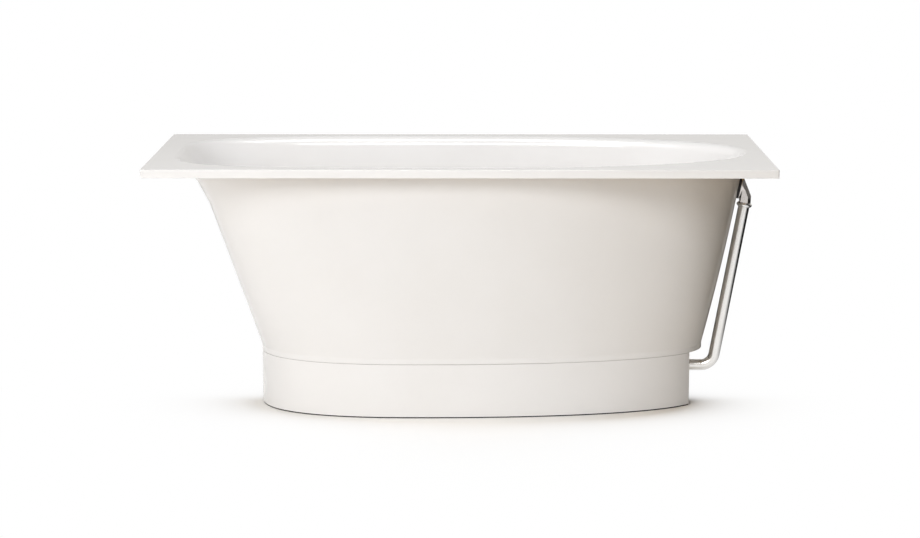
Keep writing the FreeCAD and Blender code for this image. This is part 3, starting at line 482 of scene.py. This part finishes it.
def lip_edge_row(share):
    """Row of the rounded bottom edge of the lip, from under it, at share 0, to its side."""
    swing = share * math.pi / 2
    inset = LIP_EDGE_ROUND * (1 - math.sin(swing))
    height = BODY_BASE + LIP_EDGE_ROUND * (1 - math.cos(swing))
    return level_row(wall_row(BODY_FOOT, inset), height)


first_height = BODY_FOOT + CREASE
body_step = (lower_hole_row - first_height) / BODY_STEPS
body_rows = [level_row(wall_row(BODY_FOOT, RETURN_WIDTH), BODY_BASE)]
body_rows += [lip_edge_row(step / LIP_EDGE_STEPS) for step in range(LIP_EDGE_STEPS + 1)]
body_rows.append(level_row(wall_row(BODY_FOOT, 0), BODY_FOOT - CREASE))
body_rows += [wall_row(first_height + body_step * step, 0) for step in range(BODY_STEPS + 1)]
body_rows += [wall_row(height, 0) for height in (upper_hole_row, BODY_TOP)]
body = loft("outer_body", body_rows, close_last=False)
face_outwards(body, flip=False)
lowest_face = min(body.data.polygons, key=lambda face: face.center.z)
if lowest_face.normal.z > 0:
    face_outwards(body, flip=True)
finish_with(body, "SOLIDIFY", thickness=SHEET, offset=-1.0, use_even_offset=True)
bore(body, WALL_HOLE, OVERFLOW_CENTRE - OVERFLOW_OUT * BODY_BORE, OVERFLOW_OUT, 2 * BODY_BORE)
smooth(body)
satin_acrylic = white_acrylic(
    "satin_white_acrylic", warm=(0.858, 0.842, 0.824), cool=(0.874, 0.860, 0.846), polish=0.20
)
body.data.materials.append(satin_acrylic)
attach(body, "tub")
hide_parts("outer_shell")

# Plinth: a strip of the same white acrylic bent round under the body's lip, 6 mm thick, cut flat at the
# overflow end, where the pipe goes in through a rubber ring. It stands on a thin rubber strip, is held by
# steel clips that are screwed up to the body's flange, and hides the feet.
PLINTH_SETBACK = 0.0005
PLINTH_BOTTOM = 0.003
PLINTH_TOP = 0.1325
PLINTH_END = 0.5695
PLINTH_WALL = 0.006
PLINTH_CORNER_ROUND = 0.0015
PLINTH_UPRIGHT = 0.1
PIPE_HEIGHT = 0.0845
GROMMET_HOLE = 0.017
plinth_oval = wall_row(BODY_FOOT, PLINTH_SETBACK)
plinth_rows = [level_row(plinth_oval, height) for height in (PLINTH_BOTTOM, PLINTH_TOP)]
plinth = loft("plinth_wall", plinth_rows, close_last=False)
bpy.ops.object.mode_set(mode="EDIT")
bpy.ops.mesh.select_all(action="SELECT")
bpy.ops.mesh.bisect(plane_co=(PLINTH_END, 0, 0), plane_no=(1, 0, 0), use_fill=False, clear_outer=True)
plinth_mesh = bmesh.from_edit_mesh(plinth.data)
for vertex in plinth_mesh.verts:
    vertex.select = abs(vertex.co.x - PLINTH_END) < TINY
plinth_mesh.select_flush_mode()
bmesh.update_edit_mesh(plinth.data)
bpy.ops.mesh.edge_face_add()
bpy.ops.object.mode_set(mode="OBJECT")
face_outwards(plinth, flip=False)
end_face = max(plinth.data.polygons, key=lambda face: face.center.x)
if end_face.normal.x < 0:
    face_outwards(plinth, flip=True)
finish_with(plinth, "SOLIDIFY", thickness=PLINTH_WALL, offset=-1.0, use_even_offset=True)
bore(plinth, GROMMET_HOLE, Vector((PLINTH_END + CUT, 0, PIPE_HEIGHT)), Vector((-1, 0, 0)), 2 * CUT)


def plinth_corner(first, second):
    """Whether an edge is one of the upright corners of the flat end."""
    both_at_end = abs(first.x - PLINTH_END) < NEAR and abs(second.x - PLINTH_END) < NEAR
    return both_at_end and abs(first.z - second.z) > PLINTH_UPRIGHT


bevel_edges(plinth, plinth_corner, PLINTH_CORNER_ROUND, segments=3)
smooth(plinth)
plinth.data.materials.append(satin_acrylic)
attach(plinth, "tub")
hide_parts("plinth_skirt")


def paint(material, *names):
    """Give carried-over pieces a finish."""
    for name in names:
        nodes[name].data.materials[0] = material


board = Finish("flake_board")
flake_sockets = {"Vector": board.place(scale=(1, 2.2, 1)), "Scale": 160.0}
flakes = board.node("ShaderNodeTexVoronoi", {}, flake_sockets)
flake_tone = board.value("ShaderNodeSeparateColor", {}, {"Color": flakes.outputs["Color"]})
fibre = board.noise(board.place(scale=(1, 8, 1)), scale=220.0, detail=4.0, roughness=0.6)
board_tone = 0.7 * flake_tone + 0.3 * fibre
board_colour = board.ramp(
    board_tone, (0.1, (0.30, 0.19, 0.10, 1)), (0.5, (0.50, 0.37, 0.22, 1)), (0.9, (0.64, 0.52, 0.34, 1))
)
board_skin = board.surface(
    Base_Color=board_colour,
    Roughness=0.62 + 0.2 * fibre,
    Normal=board.bump(board_tone, strength=0.35, distance=0.0006),
)
paint(board_skin, "rim_frame", "base_board")

# Rails, clips, nuts, screws and foot studs: steel with a bright zinc coat, which is spangled and a little
# dulled. The rails and clips are pressed from sheet, and the rest is turned. The rails are screwed up to the
# base board, and carry the nuts that the studs turn in.
zinc = Finish("zinc_coat")
spangle_sockets = {"Vector": zinc.place(), "Scale": 190.0, "Randomness": 1.0}
spangle = zinc.node("ShaderNodeTexVoronoi", {}, spangle_sockets)
spangle_tone = zinc.value("ShaderNodeSeparateColor", {}, {"Color": spangle.outputs["Color"]})
bloom = zinc.noise(zinc.place(), scale=35.0, detail=4.0, roughness=0.6)
zinc_tone = 0.55 * spangle_tone + 0.45 * bloom
zinc_skin = zinc.surface(
    Base_Color=zinc.ramp(zinc_tone, (0.2, (0.46, 0.47, 0.48, 1)), (0.8, (0.70, 0.71, 0.71, 1))),
    Metallic=1.0,
    Roughness=0.30 + 0.22 * bloom,
    Normal=zinc.bump(spangle_tone, strength=0.08, distance=0.0003),
)
foot_names = ["head_front", "head_rear", "foot_front", "foot_rear"]
paint(zinc_skin, "rail_head", "rail_foot", "rail_nuts", "rail_screws", "plinth_clips", "clip_screws")
paint(zinc_skin, *["foot_stud_" + name for name in foot_names])

# Foot pads: four feet moulded in black nylon, one on the lower end of each stud, on which the tub stands.
# They have the fine dull texture of a spark-eroded mould, a little scuffed.
nylon = Finish("black_nylon")
nylon_grain = nylon.noise(nylon.place(), scale=1400.0, detail=2.0, roughness=0.6)
nylon_wear = nylon.noise(nylon.place(), scale=60.0, detail=4.0, roughness=0.6)
nylon_skin = nylon.surface(
    Base_Color=nylon.ramp(nylon_wear, (0.3, (0.016, 0.016, 0.018, 1)), (0.75, (0.034, 0.034, 0.036, 1))),
    Roughness=0.42 + 0.2 * nylon_wear,
    Normal=nylon.bump(nylon_grain, strength=0.25, distance=0.0002),
)
paint(nylon_skin, *["foot_pad_" + name for name in foot_names])

# Seals: rings and strips of black rubber, cut from sheet or moulded, and squeezed between the pieces that
# they seal. They are dull, with a dusty bloom.
rubber = Finish("black_rubber")
rubber_bloom = rubber.noise(rubber.place(), scale=45.0, detail=5.0, roughness=0.65)
rubber_grain = rubber.noise(rubber.place(), scale=1100.0, detail=2.0, roughness=0.6)
rubber_skin = rubber.surface(
    Base_Color=rubber.ramp(rubber_bloom, (0.3, (0.009, 0.009, 0.009, 1)), (0.8, (0.024, 0.023, 0.022, 1))),
    Roughness=0.55 + 0.25 * rubber_bloom,
    Normal=rubber.bump(rubber_grain, strength=0.2, distance=0.0002),
)
paint(rubber_skin, "plinth_seal", "pipe_grommet")
paint(rubber_skin, "waste_top_washer", "waste_lower_washer", "tail_seal", "plug_seal")
paint(rubber_skin, "overflow_outer_gasket", "overflow_inner_gasket", "overflow_pipe_seal", "pipe_union_seal")

# Drain body, tail pipe and its nut: moulded in grey plastic with a fine grain. The body is clamped under the
# basin's floor by the drain's flange, and the nut holds the tail in its socket.
grey = Finish("grey_plastic")
grey_grain = grey.noise(grey.place(), scale=700.0, detail=2.0, roughness=0.6)
grey_cloud = grey.noise(grey.place(), scale=20.0, detail=3.0, roughness=0.5)
grey_skin = grey.surface(
    Base_Color=grey.ramp(grey_cloud, (0.3, (0.25, 0.255, 0.26, 1)), (0.7, (0.30, 0.305, 0.31, 1))),
    Roughness=0.38 + 0.12 * grey_cloud,
    Normal=grey.bump(grey_grain, strength=0.15, distance=0.0002),
)
paint(grey_skin, "waste_tee", "tail_pipe", "tail_nut")

# Overflow elbow: cast in nickel silver with a soft sheen, and clamped on its gasket by a round flange. It has
# a short neck, flat cheeks, a slanted back with wide chamfers, and a round spigot at the bottom that the
# pipe's collar closes on.
CHEEK = 0.0175
CHAMFER = 0.0085
ELBOW_SIDE = [
    (0.0069, -0.0040), (0.0210, -0.0040), (0.0361, 0.0202), (0.0386, 0.0388), (0.0115, 0.0388),
    (0.0105, 0.0140), (0.0069, 0.0090),
]
CAST_ROUND = 0.0006
CAST_ROUND_ANGLE = math.radians(30)
NECK_RADIUS = 0.0195
NECK_START = 0.0065
NECK_LENGTH = 0.030
FLANGE_RADIUS = 0.033
FLANGE_FACE = 0.004
FLANGE_THICKNESS = 0.003
FLANGE_ROUND = 0.0007
PIPE_STANDOFF = 0.0246
SPIGOT_RADIUS = 0.014
SPIGOT_START = 0.030
SPIGOT_END = 0.044
SPIGOT_BORE = 0.0115
SPIGOT_BORE_TOP = 0.032
SOCKET_RADIUS = 0.0171
SOCKET_DEPTH = 0.008
NECK_BORE = 0.0145
NECK_BORE_DEPTH = 0.011
WATERWAY_RADIUS = 0.008
WATERWAY_OVERLAP = 0.002
CLEAR = 0.001


def at_overflow(out, side, down):
    """Point at a distance out from the wall, sideways, and down the wall from the overflow's middle."""
    return OVERFLOW_CENTRE + OVERFLOW_OUT * out + Vector((0, side, 0)) + OVERFLOW_DOWN * down


def join_to(piece, other):
    """Weld another solid to a piece."""
    finish_with(piece, "BOOLEAN", operation="UNION", object=other, solver="EXACT")
    bpy.data.objects.remove(other)


def round_edges(piece, width):
    """Take the sharpness off all of a casting's edges."""
    finish_with(piece, "BEVEL", width=width, segments=2, limit_method="ANGLE", angle_limit=CAST_ROUND_ANGLE)


elbow = start_ring("cast_elbow", [at_overflow(out, -CHEEK, down) for out, down in ELBOW_SIDE])
bpy.ops.mesh.edge_face_add()
bpy.ops.mesh.extrude_region_move(TRANSFORM_OT_translate={"value": (0, 2 * CHEEK, 0)})
bpy.ops.object.mode_set(mode="OBJECT")
face_outwards(elbow, flip=False)
back_points = [at_overflow(out, 0, down) for out, down in ELBOW_SIDE[1:4]]


def on_back(point):
    """Whether a point is at one of the corners of the slanted back."""
    return any(math.hypot(point.x - back.x, point.z - back.z) < NEAR for back in back_points)


def cheek_back_edge(first, second):
    """Whether an edge is between a cheek and the back."""
    return on_back(first) and on_back(second) and abs(first.y - second.y) < NEAR


bevel_edges(elbow, cheek_back_edge, CHAMFER, segments=1)
round_edges(elbow, CAST_ROUND)
neck = round_bar("elbow_neck", NECK_RADIUS, at_overflow(NECK_START, 0, 0), OVERFLOW_OUT, NECK_LENGTH)
back_run = (back_points[1] - back_points[0]).normalized()
back_way = Vector((0, 1, 0)).cross(back_run)
if back_way.x < 0:
    back_way = -back_way
bpy.ops.object.mode_set(mode="EDIT")
for sideways in (-1, 0, 1):
    cut_way = (back_way + Vector((0, sideways, 0))).normalized()
    cut_place = back_points[0] + Vector((0, sideways * (CHEEK - CHAMFER), 0))
    bpy.ops.mesh.select_all(action="SELECT")
    bpy.ops.mesh.bisect(plane_co=cut_place, plane_no=cut_way, use_fill=True, clear_outer=True)
bpy.ops.object.mode_set(mode="OBJECT")
join_to(elbow, neck)
flange_start = at_overflow(FLANGE_FACE, 0, 0)
flange = round_bar("elbow_flange", FLANGE_RADIUS, flange_start, OVERFLOW_OUT, FLANGE_THICKNESS)
round_edges(flange, FLANGE_ROUND)
join_to(elbow, flange)
spigot_start = at_overflow(PIPE_STANDOFF, 0, SPIGOT_START)
join_to(elbow, round_bar("spigot", SPIGOT_RADIUS, spigot_start, OVERFLOW_DOWN, SPIGOT_END - SPIGOT_START))
bore(elbow, SOCKET_RADIUS, at_overflow(0, 0, 0), OVERFLOW_OUT, SOCKET_DEPTH)
bore(elbow, NECK_BORE, at_overflow(0, 0, 0), OVERFLOW_OUT, NECK_BORE_DEPTH)
spigot_bore_start = at_overflow(PIPE_STANDOFF, 0, SPIGOT_BORE_TOP)
bore(elbow, SPIGOT_BORE, spigot_bore_start, OVERFLOW_DOWN, SPIGOT_END - SPIGOT_BORE_TOP + CLEAR)
waterway_start = at_overflow(NECK_BORE_DEPTH - WATERWAY_OVERLAP, 0, WATERWAY_OVERLAP)
waterway = at_overflow(PIPE_STANDOFF, 0, SPIGOT_BORE_TOP + WATERWAY_OVERLAP) - waterway_start
bore(elbow, WATERWAY_RADIUS, waterway_start, waterway.normalized(), waterway.length)
smooth(elbow)
cast = Finish("cast_nickel")
cast_grain = cast.noise(cast.place(), scale=1500.0, detail=3.0, roughness=0.65)
cast_cloud = cast.noise(cast.place(), scale=60.0, detail=4.0, roughness=0.6)
cast_skin = cast.surface(
    Base_Color=cast.ramp(cast_cloud, (0.3, (0.66, 0.615, 0.585, 1)), (0.75, (0.75, 0.71, 0.685, 1))),
    Metallic=1.0,
    Roughness=0.17 + 0.10 * cast_cloud,
    Normal=cast.bump(cast_grain, strength=0.22, distance=0.0002),
)
elbow.data.materials.append(cast_skin)
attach(elbow, "tub")
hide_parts("overflow_elbow")

# Pipe collar: a turned ring with a crowned face, plated and polished, that closes on the elbow's spigot and
# the pipe's top. The drain's flange and the plug's cap and stem have the same polish.
COLLAR_BORE = 0.0141
COLLAR_TOP = 0.039
COLLAR_STEP = 0.00116
COLLAR_PROFILE = [0.0148, 0.0164, 0.0177, 0.0185, 0.0190, 0.0191, 0.0190, 0.0185, 0.0177, 0.0164, 0.0148]
TURNED_POINTS = 72


def collar_row(radius, down):
    """Circle round the pipe's axis, at a distance down along the wall."""
    return [
        at_overflow(PIPE_STANDOFF + radius * math.cos(turn), radius * math.sin(turn), down)
        for turn in turns(TURNED_POINTS)
    ]


def turned_ring(name, rows):
    """Closed ring through rows of points, the last of which meets the first."""
    piece = loft(name, rows + rows[:1], close_last=False)
    finish_with(piece, "WELD", merge_threshold=NEAR)
    face_outwards(piece, flip=False)
    return piece


collar_downs = [COLLAR_TOP + COLLAR_STEP * step for step in range(len(COLLAR_PROFILE))]
collar_rows = [collar_row(COLLAR_BORE, collar_downs[0])]
collar_rows += [collar_row(radius, down) for radius, down in zip(COLLAR_PROFILE, collar_downs)]
collar_rows.append(collar_row(COLLAR_BORE, collar_downs[-1]))
collar = turned_ring("pipe_collar", collar_rows)
smooth(collar)
polish = Finish("polished_nickel")
polish_wear = polish.noise(polish.place(), scale=30.0, detail=4.0, roughness=0.6)
polish_hairs = polish.noise(polish.place(scale=(1, 1, 12)), scale=500.0, detail=3.0, roughness=0.7)
polished_skin = polish.surface(
    Base_Color=polish.ramp(polish_wear, (0.3, (0.80, 0.785, 0.765, 1)), (0.75, (0.88, 0.87, 0.855, 1))),
    Metallic=1.0,
    Roughness=0.08 + 0.07 * polish_wear + 0.04 * polish_hairs,
    Normal=polish.bump(polish_hairs, strength=0.03, distance=0.0002),
)
collar.data.materials.append(polished_skin)
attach(collar, "tub")
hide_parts("overflow_collar_nut")
paint(polished_skin, "waste_flange", "plug_cap", "plug_stem")

# Overflow rose: a turned and plated disc in the basin, with a raised seat for its screw, six drain holes in
# a sunk ring, a faintly dished face and a rounded edge. One slotted screw through its middle clamps it to
# the elbow.
ROSE_FRONT = -0.0245
ROSE_THICKNESS = 0.004
ROSE_RADIUS = 0.034
ROSE_EDGE_ROUND = 0.0015
ROSE_EDGE_STEPS = 5
ROSE_SCREW_HOLE = 0.00255
ROSE_FACE = [
    (ROSE_SCREW_HOLE, 0.0), (0.0062, 0.0), (0.0067, 0.0009), (0.0133, 0.0009), (0.0200, 0.0007),
    (0.0260, 0.0004), (0.0300, 0.0001),
]
ROSE_HOLE = 0.0026
ROSE_HOLE_CIRCLE = 0.0098
ROSE_HOLE_COUNT = 6
ROSE_HOLE_SIDES = 32
SCREW_HEAD_RADIUS = 0.0045
SCREW_HEAD_HEIGHT = 0.003
SCREW_HEAD_ROUND = 0.0016
SCREW_RADIUS = 0.0025
SCREW_END = 0.0145
SLOT_WIDTH = 0.0011
SLOT_DEPTH = 0.0013


def rose_point(radius, turn, back):
    """Point at a radius and turn round the overflow's axis, at a distance back from the rose's face."""
    return at_overflow(ROSE_FRONT + back, radius * math.sin(turn), radius * math.cos(turn))


def rose_row(radius, back):
    """Circle round the overflow's axis, at a distance back from the rose's face."""
    return [rose_point(radius, turn, back) for turn in turns(TURNED_POINTS)]


rose_rows = [rose_row(ROSE_SCREW_HOLE, ROSE_THICKNESS)]
rose_rows += [rose_row(radius, back) for radius, back in ROSE_FACE]
for step in range(ROSE_EDGE_STEPS + 1):
    swing = step / ROSE_EDGE_STEPS * math.pi / 2
    edge_radius = ROSE_RADIUS - ROSE_EDGE_ROUND * (1 - math.sin(swing))
    rose_rows.append(rose_row(edge_radius, ROSE_EDGE_ROUND * (1 - math.cos(swing))))
rose_rows.append(rose_row(ROSE_RADIUS, ROSE_THICKNESS))
rose = turned_ring("turned_rose", rose_rows)
for turn in turns(ROSE_HOLE_COUNT):
    hole_start = rose_point(ROSE_HOLE_CIRCLE, turn, -CLEAR)
    bore(rose, ROSE_HOLE, hole_start, OVERFLOW_OUT, ROSE_THICKNESS + 2 * CLEAR, ROSE_HOLE_SIDES)
smooth(rose)
head_face = at_overflow(ROSE_FRONT - SCREW_HEAD_HEIGHT, 0, 0)
screw = round_bar("slotted_screw", SCREW_HEAD_RADIUS, head_face, OVERFLOW_OUT, SCREW_HEAD_HEIGHT)


def on_head_face(first, second):
    """Whether an edge is on the screw head's face."""
    return all((point - head_face).dot(OVERFLOW_OUT) < NEAR for point in (first, second))


bevel_edges(screw, on_head_face, SCREW_HEAD_ROUND, segments=4)
shank_start = at_overflow(ROSE_FRONT - CLEAR, 0, 0)
shank_length = SCREW_END - ROSE_FRONT + CLEAR
join_to(screw, round_bar("screw_shank", SCREW_RADIUS, shank_start, OVERFLOW_OUT, shank_length))
bpy.ops.object.select_all(action="DESELECT")
bpy.ops.mesh.primitive_cube_add(size=1)
slot = bpy.context.object
slot_size = Matrix.Diagonal((SLOT_WIDTH, 3 * SCREW_HEAD_RADIUS, 2 * SLOT_DEPTH, 1))
slot_turn = OVERFLOW_OUT.to_track_quat("Z", "Y").to_matrix().to_4x4()
slot.data.transform(Matrix.Translation(head_face) @ slot_turn @ slot_size)
cut_away(screw, slot)
smooth(screw)
turned = Finish("turned_nickel")
from_axis = turned.node("ShaderNodeVectorMath", {"operation": "SUBTRACT"}, {0: turned.place(), 1: head_face})
axis_sockets = {0: from_axis.outputs[0]}
axis_distance = turned.value("ShaderNodeVectorMath", {"operation": "LENGTH"}, axis_sockets, "Value")
turning_line = turned.node("ShaderNodeCombineXYZ", {}, {"X": axis_distance}).outputs[0]
turning = turned.noise(turning_line, scale=2400.0, detail=2.0, roughness=0.6)
turned_wear = turned.noise(turned.place(), scale=30.0, detail=4.0, roughness=0.6)
turned_skin = turned.surface(
    Base_Color=turned.ramp(turned_wear, (0.3, (0.70, 0.685, 0.665, 1)), (0.75, (0.80, 0.79, 0.775, 1))),
    Metallic=1.0,
    Roughness=0.14 + 0.10 * turning + 0.08 * turned_wear,
    Normal=turned.bump(turning, strength=0.10, distance=0.0002),
)
for fitting, node_name in ((rose, "overflow_rose"), (screw, "overflow_screw")):
    fitting.data.materials.append(turned_skin)
    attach(fitting, "tub")
    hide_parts(node_name)

# Overflow pipe: 28 mm tube, bent once, that leads the overflow's water down outside the body and in through
# the plinth to the drain. It has a satin nickel plate, brushed along its length.
nickel = Finish("satin_nickel")
brush = nickel.noise(nickel.place(scale=(1, 1, 0.06)), scale=900.0, detail=3.0, roughness=0.7)
tarnish = nickel.noise(nickel.place(), scale=12.0, detail=4.0, roughness=0.6)
nickel_skin = nickel.surface(
    Base_Color=nickel.ramp(tarnish, (0.3, (0.86, 0.84, 0.81, 1)), (0.75, (0.93, 0.915, 0.89, 1))),
    Metallic=1.0,
    Roughness=0.18 + 0.08 * brush + 0.05 * tarnish,
    Normal=nickel.bump(brush, strength=0.05, distance=0.0002),
)
paint(nickel_skin, "overflow_pipe")

# Turned brass: the cartridge that the plug's stem slides in, the sleeve through both walls at the overflow,
# and the union nut that joins the pipe to the drain. Left bare, with turning marks and a little tarnish.
brass = Finish("turned_brass")
brass_turning = brass.noise(brass.place(scale=(1, 1, 14)), scale=260.0, detail=3.0, roughness=0.6)
brass_tone = brass.noise(brass.place(), scale=40.0, detail=4.0, roughness=0.6)
brass_skin = brass.surface(
    Base_Color=brass.ramp(brass_tone, (0.3, (0.52, 0.36, 0.15, 1)), (0.75, (0.68, 0.50, 0.24, 1))),
    Metallic=1.0,
    Roughness=0.22 + 0.18 * brass_tone,
    Normal=brass.bump(brass_turning, strength=0.06, distance=0.0002),
)
paint(brass_skin, "click_cartridge", "overflow_sleeve", "pipe_union_nut")

# Floor: a plain white studio floor that glows bare white to the camera and in mirrors, but less in an oval
# round the plinth, which is a painted shadow: there the floor shows its own lit shade with the tub's real
# shadow in it, and so looks darker, fading out to bare white. It gives back warmer light at the overflow end,
# and less at the rear right and far in front, where the studio is left dark to draw the tub's edges.
FLOOR_SIZE = 14.0
FLOOR_WHITE = 0.85
# Shape of the painted shadow: an oval round the plinth, reaching further to the front than behind.
SHADOW_X = 0.03
SHADOW_Y = -0.05
SHADOW_SPREAD_FRONT = 0.5
SHADOW_SPREAD_REAR = 1.2
SHADOW_HALF_LENGTH = 0.54
SHADOW_HALF_WIDTH = 0.115
SHADOW_REACH = 0.065
DARK_WAY = (0.65, 0.75)
DARK_START = 1.05
DARK_FADE = 0.7
PAPER_END = -4.8
PAPER_FADE = 0.8
FLOOR_WARMTH = (1.0, 0.975, 0.935)
RIGHT_WARMTH = (1.0, 0.88, 0.72)
WARM_START = 0.3
WARM_FADE = 0.5
bpy.ops.object.select_all(action="DESELECT")
bpy.ops.mesh.primitive_plane_add(size=FLOOR_SIZE, location=(0, 0, 0))
floor = bpy.context.object
floor.name = "studio_floor"
floor_paint = Finish("studio_white")


def ray_kinds(finish):
    """Whether a ray looks from the camera or through glass, and whether it comes off a glossy surface."""
    path = finish.node("ShaderNodeLightPath")
    from_camera = Value(finish, path.outputs["Is Camera Ray"])
    through_glass = Value(finish, path.outputs["Is Transmission Ray"])
    return from_camera.at_least(through_glass), Value(finish, path.outputs["Is Glossy Ray"])


def floor_length(along, across):
    """Length of a step on the floor."""
    step = floor_paint.node("ShaderNodeCombineXYZ", {}, {"X": along, "Y": across}).outputs[0]
    return floor_paint.value("ShaderNodeVectorMath", {"operation": "LENGTH"}, {0: step}, "Value")


def share_past(distance, fade):
    """Share that grows from 0 to 1 over a fade."""
    return (distance * (1 / fade)).at_least(0).at_most(1)


looked_at, mirrored = ray_kinds(floor_paint)
floor_place = floor_paint.node("ShaderNodeTexCoord").outputs["Object"]
floor_axes = floor_paint.node("ShaderNodeSeparateXYZ", {}, {0: floor_place})
along_floor = Value(floor_paint, floor_axes.outputs["X"])
across_floor = Value(floor_paint, floor_axes.outputs["Y"])
to_dark = DARK_WAY[0] * along_floor + DARK_WAY[1] * across_floor
bright_side = share_past(DARK_START - to_dark, DARK_FADE)
paper = share_past(across_floor - PAPER_END, PAPER_FADE)
# Painted shadow: the floor's white glow is held back in an oval round the plinth, so the floor there is
# darker.
shadow_along = along_floor - SHADOW_X
shadow_across = across_floor - SHADOW_Y
shadow_across = (shadow_across * SHADOW_SPREAD_REAR).at_least(shadow_across * -SHADOW_SPREAD_FRONT)
from_middle = floor_length(shadow_along, shadow_across)
in_ovals = floor_length(shadow_along * (1 / SHADOW_HALF_LENGTH), shadow_across * (1 / SHADOW_HALF_WIDTH))
past_oval = (from_middle - from_middle / in_ovals).at_least(0)
fade = 1 - math.e ** (past_oval * (-1 / SHADOW_REACH))
shown = looked_at + mirrored * bright_side * paper
cover = FLOOR_WHITE * (1 - (looked_at + mirrored) * fade) * (looked_at + (1 - looked_at) * bright_side)
to_right = share_past(along_floor - WARM_START, WARM_FADE)
floor_tone = floor_paint.node("ShaderNodeCombineColor", {}, {
    channel: cover * (left + (right - left) * to_right)
    for channel, (left, right) in enumerate(zip(FLOOR_WARMTH, RIGHT_WARMTH))
})
floor_diffuse = floor_paint.node("ShaderNodeBsdfDiffuse", {}, {"Color": floor_tone.outputs[0]})
floor_light = floor_paint.node("ShaderNodeEmission", {}, {"Color": (1, 1, 1, 1), "Strength": shown * fade})
floor_shaders = {0: floor_diffuse.outputs[0], 1: floor_light.outputs[0]}
floor_sum = floor_paint.node("ShaderNodeAddShader", {}, floor_shaders)
floor_paint.node("ShaderNodeOutputMaterial", {}, {"Surface": floor_sum.outputs[0]})
floor.data.materials.append(floor_paint.owner)

# Studio: a white surround to look at, which mirrors as a room with bright walls in front and behind and dark
# sides, and seven broad soft lamps, two in front, three at the left, one overhead and one behind. The low
# lamps stay out of mirrored rays, so that the rim's glossy top isn't burnt out when it is seen from a side.
ROOM_DARK = 0.05
ROOM_BRIGHT = 0.85
ROOM_FRONT = 0.06
ROOM_WARMTH = (1.0, 0.975, 0.94)
BRIGHT_WALL = (0.38, 0.925, 0)
surround = bpy.data.worlds.new("studio_surround")
bpy.context.scene.world = surround
sky = Finish("studio_surround", surround)
sky_looked_at, sky_mirrored = ray_kinds(sky)
sky_way = sky.node("ShaderNodeTexCoord").outputs["Generated"]
wall_sockets = {0: sky_way, 1: BRIGHT_WALL}
to_bright_wall = sky.value("ShaderNodeVectorMath", {"operation": "DOT_PRODUCT"}, wall_sockets, "Value")
room_tone = ROOM_DARK + to_bright_wall * (ROOM_BRIGHT * to_bright_wall - ROOM_FRONT)
room_tone = sky_mirrored * room_tone.at_least(0)
room_colour = sky.node("ShaderNodeCombineColor", {}, {
    channel: sky_looked_at + room_tone * warmth for channel, warmth in enumerate(ROOM_WARMTH)
})
room = sky.node("ShaderNodeBackground", {}, {"Color": room_colour.outputs[0], "Strength": 1.0})
sky.node("ShaderNodeOutputWorld", {}, {"Surface": room.outputs[0]})
LAMP_AIM = Vector((0, 0, 0.35))
LAMP_DISTANCE = 4.6
LAMP_WIDTH = 2.2
LAMP_HEIGHT = 1.6
LAMP_WARMTH = (1.0, 0.997, 1.0)
LOW_LIFT = 20


def soft_lamp(name, round_from_front, lift, power):
    """Rectangular soft lamp at an angle round from the front, right positive, and an angle up from level."""
    lamp_data = bpy.data.lights.new(name, "AREA")
    lamp_data.shape = "RECTANGLE"
    lamp_data.size = LAMP_WIDTH
    lamp_data.size_y = LAMP_HEIGHT
    lamp_data.energy = power
    lamp_data.color = LAMP_WARMTH
    lamp = bpy.data.objects.new(name, lamp_data)
    bpy.context.scene.collection.objects.link(lamp)
    level = math.cos(math.radians(lift))
    side = math.radians(round_from_front)
    towards_lamp = Vector((level * math.sin(side), -level * math.cos(side), math.sin(math.radians(lift))))
    lamp.location = LAMP_AIM + LAMP_DISTANCE * towards_lamp
    lamp.rotation_euler = (-towards_lamp).to_track_quat("-Z", "Y").to_euler()
    lamp.visible_camera = False
    lamp.visible_glossy = lift > LOW_LIFT


soft_lamp("front_low_lamp", round_from_front=0, lift=12, power=22)
soft_lamp("front_lamp", round_from_front=-10, lift=35, power=84)
soft_lamp("front_left_low_lamp", round_from_front=-40, lift=12, power=25)
soft_lamp("front_left_lamp", round_from_front=-40, lift=60, power=42)
soft_lamp("left_low_lamp", round_from_front=-85, lift=12, power=31)
soft_lamp("overhead_lamp", round_from_front=0, lift=80, power=80)
soft_lamp("rear_left_lamp", round_from_front=-145, lift=12, power=92)

# Camera: the photograph's view, from the front and a little above the rim, through a long lens. Its place,
# its turn and its lens are those that bring the rim's corners and edges to where the photograph has them.
CAMERA_SENSOR = 36.0
CAMERA_LENS = 98.38
CAMERA_REACH = 100.0
CAMERA_PLACE = (0.023985, -6.191455, 1.413217)
CAMERA_TILT = math.radians(80.060323)
CAMERA_TURN = math.radians(0.222244)
camera_data = bpy.data.cameras.new("front_camera")
camera_data.sensor_fit = "HORIZONTAL"
camera_data.sensor_width = CAMERA_SENSOR
camera_data.lens = CAMERA_LENS
camera_data.clip_end = CAMERA_REACH
camera = bpy.data.objects.new("front_camera", camera_data)
bpy.context.scene.collection.objects.link(camera)
camera.location = CAMERA_PLACE
camera.rotation_euler = (CAMERA_TILT, 0, CAMERA_TURN)
bpy.context.scene.camera = camera
bpy.context.scene.view_settings.view_transform = "Standard"
